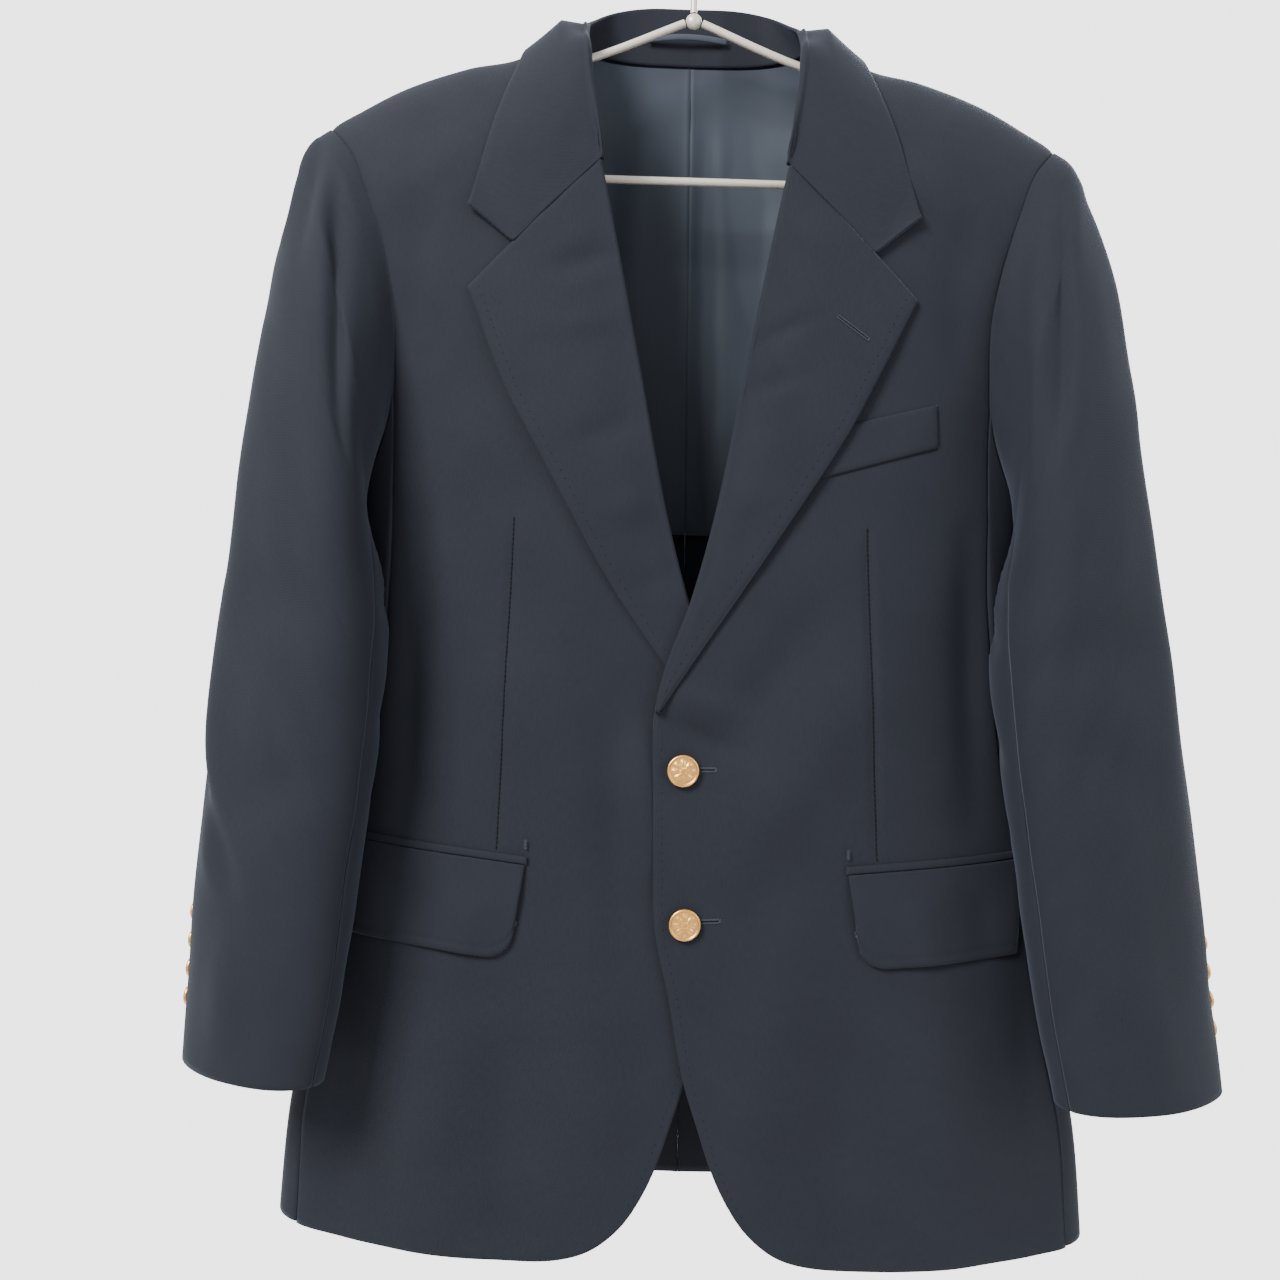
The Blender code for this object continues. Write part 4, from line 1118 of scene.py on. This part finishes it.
def turned_disc(radius, thick, matrix, steps=72):
    """The profile spun round its axis, its face raised in petals with a ring of beads inside."""
    def maker(bm):
        verts = [bm.verts.new((r * radius, 0, h * thick)) for r, h in BUTTON_PROFILE]
        edges = [bm.edges.new(pair) for pair in zip(verts, verts[1:])]
        bmesh.ops.spin(bm, geom=verts + edges, cent=(0, 0, 0), axis=(0, 0, 1), angle=math.tau,
                       steps=steps, use_merge=True)
        for vert in bm.verts:
            share = math.hypot(vert.co.x, vert.co.y) / radius
            if vert.co.z > thick * 0.69 and share < 0.80:
                turn = math.atan2(vert.co.y, vert.co.x)
                ridge = math.cos(PETALS * turn) * math.exp(-((share - 0.50) / 0.17) ** 2)
                beads = math.cos(PETALS * 2 * turn) * math.exp(-((share - 0.22) / 0.05) ** 2)
                vert.co.z += thick * (0.085 * ridge + 0.030 * beads)
        bmesh.ops.transform(bm, matrix=matrix, verts=bm.verts)
    return maker


def facing(place, normal):
    turn = normal.to_track_quat("Z", "Y").to_matrix().to_4x4()
    return Matrix.Translation(hang(place)) @ turn


for number, (x, z) in enumerate(BUTTON_PLACES, 1):
    spot = front_place(x, z, 1, REST_GAP + 0.0002)
    tilt = Vector((0.02 * number, -1, 0.05 - 0.03 * number)).normalized()
    button = join_meshes("gilt_button_%d" % number,
                         [turned_disc(BUTTON_RADIUS, BUTTON_THICK, facing(spot, tilt))], GILT)
    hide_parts("front_button_%d" % number)


def cuff_spot(side, number):
    level = CUFF_BUTTON_FIRST_Z - CUFF_BUTTON_STEP * number
    share = 0.5
    for _ in range(40):
        share += (sleeve_place(share, CUFF_BUTTON_ANGLE, side).z - level) * 1.2
    normal = sleeve_normal(share, CUFF_BUTTON_ANGLE, side)
    place = sleeve_place(share, CUFF_BUTTON_ANGLE, side)
    lift = max(0.0, (sleeve_skin(share, CUFF_BUTTON_ANGLE, side) - place).dot(normal))
    return place + normal * (0.0006 + lift), normal


for side, tag in SIDES:
    for number in range(CUFF_BUTTONS):
        spot, normal = cuff_spot(side, number)
        button = join_meshes("gilt_cuff_%s_%d" % (tag, number + 1), [
            turned_disc(CUFF_BUTTON_RADIUS, CUFF_BUTTON_THICK, facing(spot, normal), 48)], GILT)
        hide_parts("cuff_button_%s_%d" % (tag, number + 1))

# %% [markdown]
# ## Thread
# Every stitch is a short bead of thread laid on the cloth, and all of one kind are joined into
# one piece. A texture could draw them, but beads catch the light as raised thread does.

# %% Stitches
STITCH = 0.00036
TACK_LIFT = 0.0020


def bead(start, end, radius, sides=6):
    """A short round stitch between two places."""
    middle = (start + end) / 2
    along = end - start
    turn = along.to_track_quat("Z", "Y").to_matrix().to_4x4()
    long = Matrix.Diagonal((1, 1, max(along.length / 2 / radius, 1.0), 1))

    def maker(bm):
        bmesh.ops.create_uvsphere(bm, u_segments=sides, v_segments=5, radius=radius,
                                  matrix=Matrix.Translation(middle) @ turn @ long)
    return maker


def hole_stitches(place, start, end, width, count):
    """Stitches round a slit from start to end; place(x, z, out) gives the cloth's skin."""
    way = Vector((end[0] - start[0], end[1] - start[1]))
    across = Vector((-way.y, way.x)).normalized() * width / 2
    makers = []
    for k in range(count + 1):
        t = k / count
        spot = Vector(start) + way * t
        for sign in (1, -1):
            near = spot + across * sign * 0.18
            far = spot + across * sign
            makers.append(bead(hang(place(near.x, near.y, 0.0004)),
                               hang(place(far.x, far.y, 0.0002)), STITCH))
    for k in range(5):
        turn = math.pi * (k / 4 - 0.5)
        forward = way.normalized() * math.cos(turn) + across.normalized() * math.sin(turn)
        far = Vector(end) + forward * width / 2
        makers.append(bead(hang(place(end[0], end[1], 0.0002)),
                           hang(place(far.x, far.y, 0.0001)), STITCH))
    return makers


def on_front(x, z, out):
    return front_place(x, z, 1, out)


def on_lapel(side):
    """The lapel's skin at a place seen from the front."""
    def place(x, z, out):
        u, v = 0.7, 0.3
        for _ in range(60):
            inner_x, inner_z, outer_x, outer_z = lapel_frame(side, v)
            t = min(max((x - inner_x) / (outer_x - inner_x), 0.02), 0.99)
            gap = lerp(inner_z, outer_z, t) - z
            v = min(max(v + gap * 2.2, 0.0), 1.0)
            u = ROLL_SHARE + (1 - ROLL_SHARE) * t
        spot = lapel_spot(side, u, v)
        return spot + skin_normal(abs(spot.x), spot.z) * out
    return place

# %% [markdown]
# ## Buttonholes and bar tacks
# A buttonhole is a slit bound all round with close stitches, with a rounded end where the
# button's shank sits. A bar tack closes each end of a pocket's mouth.

# %% Buttonholes and bar tacks
stitches = []
stitches += hole_stitches(on_front, (-0.004, -0.5755), (0.0165, -0.5750), 0.0034, 34)
stitches += hole_stitches(on_front, (-0.002, -0.6680), (0.0200, -0.6665), 0.0034, 34)
stitches += hole_stitches(on_lapel(1), (0.086, -0.2985), (0.105, -0.3115), 0.0026, 32)
for side in (1, -1):
    for k in range(7):
        x = FLAP_OUTER_X - 0.0008
        z = flap_top(x) + JET_HEIGHT * k / 6
        for end_x in (x, FLAP_INNER_X):
            low = front_place(end_x - 0.0012, z, side, TACK_LIFT)
            high = front_place(end_x + 0.0010, z, side, TACK_LIFT)
            stitches.append(bead(hang(low), hang(high), 0.00030))
thread = join_meshes("bound_stitches", stitches, NAVY_THREAD)
print("stitches", len(stitches))

# %% [markdown]
# ## Painted shade in darts and slits
# The shade in a dart's groove and in a cut slit is painted: each is a chain of long near-black
# beads, sunk to the skin of the cloth.


# %% Painted dart and slit shade
def shade_line_chain(place, start, end, radius, step=0.003):
    """A sunk line of painted shade: a chain of long beads along the cloth."""
    way = Vector((end[0] - start[0], end[1] - start[1]))
    count = max(1, round(way.length / step))
    spots = [place(start[0] + way.x * k / count, start[1] + way.y * k / count, 0.0)
             for k in range(count + 1)]
    return [bead(hang(first), hang(second), radius) for first, second in zip(spots, spots[1:])]


seams = []
for side in (1, -1):
    seams += shade_line_chain(lambda x, z, out: front_place(x, z, side, out + 0.0002 + 0.75 * dart_dip(x, z)),
                        DART_TOP, DART_FOOT, 0.00034)
seams += shade_line_chain(on_front, (0.0000, -0.5755), (0.0168, -0.5750), 0.00045)
seams += shade_line_chain(on_front, (0.0020, -0.6680), (0.0203, -0.6665), 0.00045)
seams += shade_line_chain(on_lapel(1), (0.0865, -0.2990), (0.1048, -0.3113), 0.00040)
# Near-black beads painted as the shade in the dart grooves and buttonhole slits.
painted_dart_and_slit_shade = join_meshes("painted_dart_and_slit_shade", seams, PAINTED_SHADE_BEADS)

# %% [markdown]
# ## Pick stitches
# Tailors run a row of tiny stitches beside the edge of the lapel and the front to hold them
# flat. Each one is a bead about a millimetre long, coloured near-black as painted shade for
# the dimple that the stitch pulls into the cloth.

# %% Pick stitches
PICK_LENGTH = 0.0010
PICK_RADIUS = 0.00022
LAPEL_RUN = 0.255
PICK_STEP = 0.0052
PICK_INSET = 0.0055
picks = []
for side in (1, -1):
    for k in range(int(LAPEL_RUN / PICK_STEP)):
        v = 0.02 + 0.955 * k * PICK_STEP / LAPEL_RUN
        inner_x, inner_z, outer_x, outer_z = lapel_frame(side, v)
        u = 1 - (1 - ROLL_SHARE) * min(PICK_INSET / (outer_x - inner_x), 0.6)
        spot = lapel_spot(side, u, v)
        ahead = lapel_spot(side, u, min(v + 0.006, 1.0)) - spot
        picks.append(bead(hang(spot), hang(spot + ahead.normalized() * PICK_LENGTH), PICK_RADIUS))
    first_z = BREAK_Z if side > 0 else -0.62
    for k in range(int((first_z + 0.838) / PICK_STEP)):
        z = first_z - 0.012 - k * PICK_STEP
        spot = front_place(read_table(FRONT_EDGE, z) + PICK_INSET, z, side, 0.0)
        picks.append(bead(hang(spot), hang(spot - Vector((0, 0, PICK_LENGTH))), PICK_RADIUS))
# The stitches are real; their near-black colour is painted shade for their dimples.
pick_line = join_meshes("pick_stitches", picks, PAINTED_SHADE_BEADS)
print("picks", len(picks))

# %% [markdown]
# ## Wire hanger
# A slim coated wire, bent cold: a hook, a joint, two arms that bear under the shoulders and
# turn back, and a bar between them. Each is a round section swept along its line.

# %% Hanger
HOOK_INNER_RADIUS = 0.018
WIRE_RADIUS = 0.0022
ARM_RADIUS = 0.0026
JOINT_Z = -0.095
JOINT_RADIUS = 0.0052
BAR_Z = -0.199
# distance from the joint, height of an arm
ARM_LINE = [
    (0.0058, -0.0962), (0.064, -0.1200), (0.110, -0.1330), (0.150, -0.1395), (0.170, -0.1490),
    (0.184, -0.1570),
]
ARM_FOOT = 0.006
WIRE_SIDES = 20


def rod(name, points, radius, node):
    """A grid rolled round a line of places, its long seam and its ends closed."""
    bm = bmesh.new()
    bmesh.ops.create_grid(bm, x_segments=WIRE_SIDES, y_segments=len(points) - 1, size=1.0)
    for vert in bm.verts:
        k = round((1 - vert.co.y) / 2 * (len(points) - 1))
        angle = math.tau * (vert.co.x + 1) / 2
        ahead = (points[min(k + 1, len(points) - 1)] - points[max(k - 1, 0)]).normalized()
        flat = Vector((0, 1, 0))
        round_way = flat * math.cos(angle) + ahead.cross(flat).normalized() * math.sin(angle)
        vert.co = points[k] + round_way * radius
    bmesh.ops.remove_doubles(bm, verts=bm.verts, dist=1e-7)
    bmesh.ops.holes_fill(bm, edges=bm.edges, sides=0)
    bmesh.ops.recalc_face_normals(bm, faces=bm.faces)
    piece = finished(name, bm, WIRE)
    piece.data.set_sharp_from_angle(angle=math.radians(50))
    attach(piece, "root")
    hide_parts(node)


turn = HOOK_INNER_RADIUS + WIRE_RADIUS
hook = []
for k in range(73):
    angle = math.radians(lerp(200, -90, k / 72))
    hook.append(Vector((turn * math.cos(angle), 0, -HOOK_INNER_RADIUS + turn * math.sin(angle))))
foot = -HOOK_INNER_RADIUS - turn
hook += [Vector((0, 0, lerp(foot - 0.004, JOINT_Z + JOINT_RADIUS + 0.0002, k / 8))) for k in range(9)]
rod("wire_hook", hook, WIRE_RADIUS, "hanger_hook")
x_end, z_end = ARM_LINE[-1]
reach = (z_end - BAR_Z) / 2
for side, tag in SIDES:
    route = []
    for k in range(60):
        x = lerp(ARM_LINE[0][0], x_end, k / 59)
        route.append(hang(Vector((x * side, 0.0, read_table(ARM_LINE, x)))))
    for k in range(1, 33):
        angle = math.radians(lerp(15, 180, k / 32))
        route.append(hang(Vector(((x_end + reach * math.sin(angle)) * side, 0.0,
                                  BAR_Z + reach * (1 + math.cos(angle))))))
    route.append(hang(Vector(((x_end - ARM_FOOT) * side, 0.0, BAR_Z))))
    rod("wire_arm_" + tag, route, ARM_RADIUS, "hanger_arm_" + tag)
half = x_end - ARM_FOOT
bar = [hang(Vector((lerp(-half, half, k / 40), 0.0, BAR_Z))) for k in range(41)]
rod("wire_bar", bar, ARM_RADIUS, "hanger_bar")


def joint_ball(bm):
    squat = Matrix.Diagonal((1.0, 0.85, 1.0, 1.0))
    bmesh.ops.create_uvsphere(bm, u_segments=32, v_segments=20, radius=JOINT_RADIUS,
                              matrix=Matrix.Translation((0, 0, JOINT_Z)) @ squat)


joint = join_meshes("wire_joint", [joint_ball], WIRE)
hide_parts("hanger_joint")

# %% [markdown]
# ## Room and light
# A pale room with a large soft window above on the left, a weaker one on the right, and a
# bounce from the floor far below. Soft light from one side is what shows the creases.

# %% Room and light
MIDDLE = Vector((0.0, 0.0, -0.48))
FLOOR_Z = -1.70
FLOOR_HALF = 1.15
FLOOR_PALE = (0.80, 0.79, 0.77)
FLOOR_WHITE = (0.84, 0.83, 0.82)


def make_floor():
    pale, tree, shader = new_look("pale_floor", FLOOR_PALE, 0.8)
    source = add(tree, "ShaderNodeTexCoord")
    grain = add(tree, "ShaderNodeTexNoise", {"Scale": 3.0}, {"Vector": source.outputs["Object"]})
    tree.links.new(mix_colours(tree, grain.outputs["Fac"], FLOOR_PALE, FLOOR_WHITE),
                   shader.inputs["Base Color"])
    bm = bmesh.new()
    bmesh.ops.create_grid(bm, x_segments=2, y_segments=2, size=FLOOR_HALF,
                          matrix=Matrix.Translation((0, 0, FLOOR_Z)))
    finished("floor", bm, pale)


def soft_window(name, place, size, watts, colour):
    light = bpy.data.lights.new(name, "AREA")
    light.shape = "RECTANGLE"
    light.size, light.size_y = size
    light.energy = watts
    light.color = colour
    holder = bpy.data.objects.new(name, light)
    direction = MIDDLE - Vector(place)
    turned = direction.to_track_quat("-Z", "Y").to_matrix().to_4x4()
    holder.matrix_world = Matrix.Translation(place) @ turned
    bpy.context.scene.collection.objects.link(holder)


make_floor()
world = bpy.data.worlds.new("room")
world.use_nodes = True
set_inputs(world.node_tree.nodes["Background"], {"Color": (0.96, 0.96, 0.97, 1), "Strength": 3.4})
bpy.context.scene.world = world
soft_window("window_left", (-1.3, -1.6, 0.9), (0.9, 0.9), 380, (1.0, 0.99, 0.97))
soft_window("window_right", (1.6, -1.2, 0.1), (1.0, 1.6), 60, (0.96, 0.98, 1.0))
soft_window("window_back", (0.9, 1.9, 0.7), (1.4, 1.4), 120, (1.0, 1.0, 1.0))
print("windows", len(bpy.data.lights))
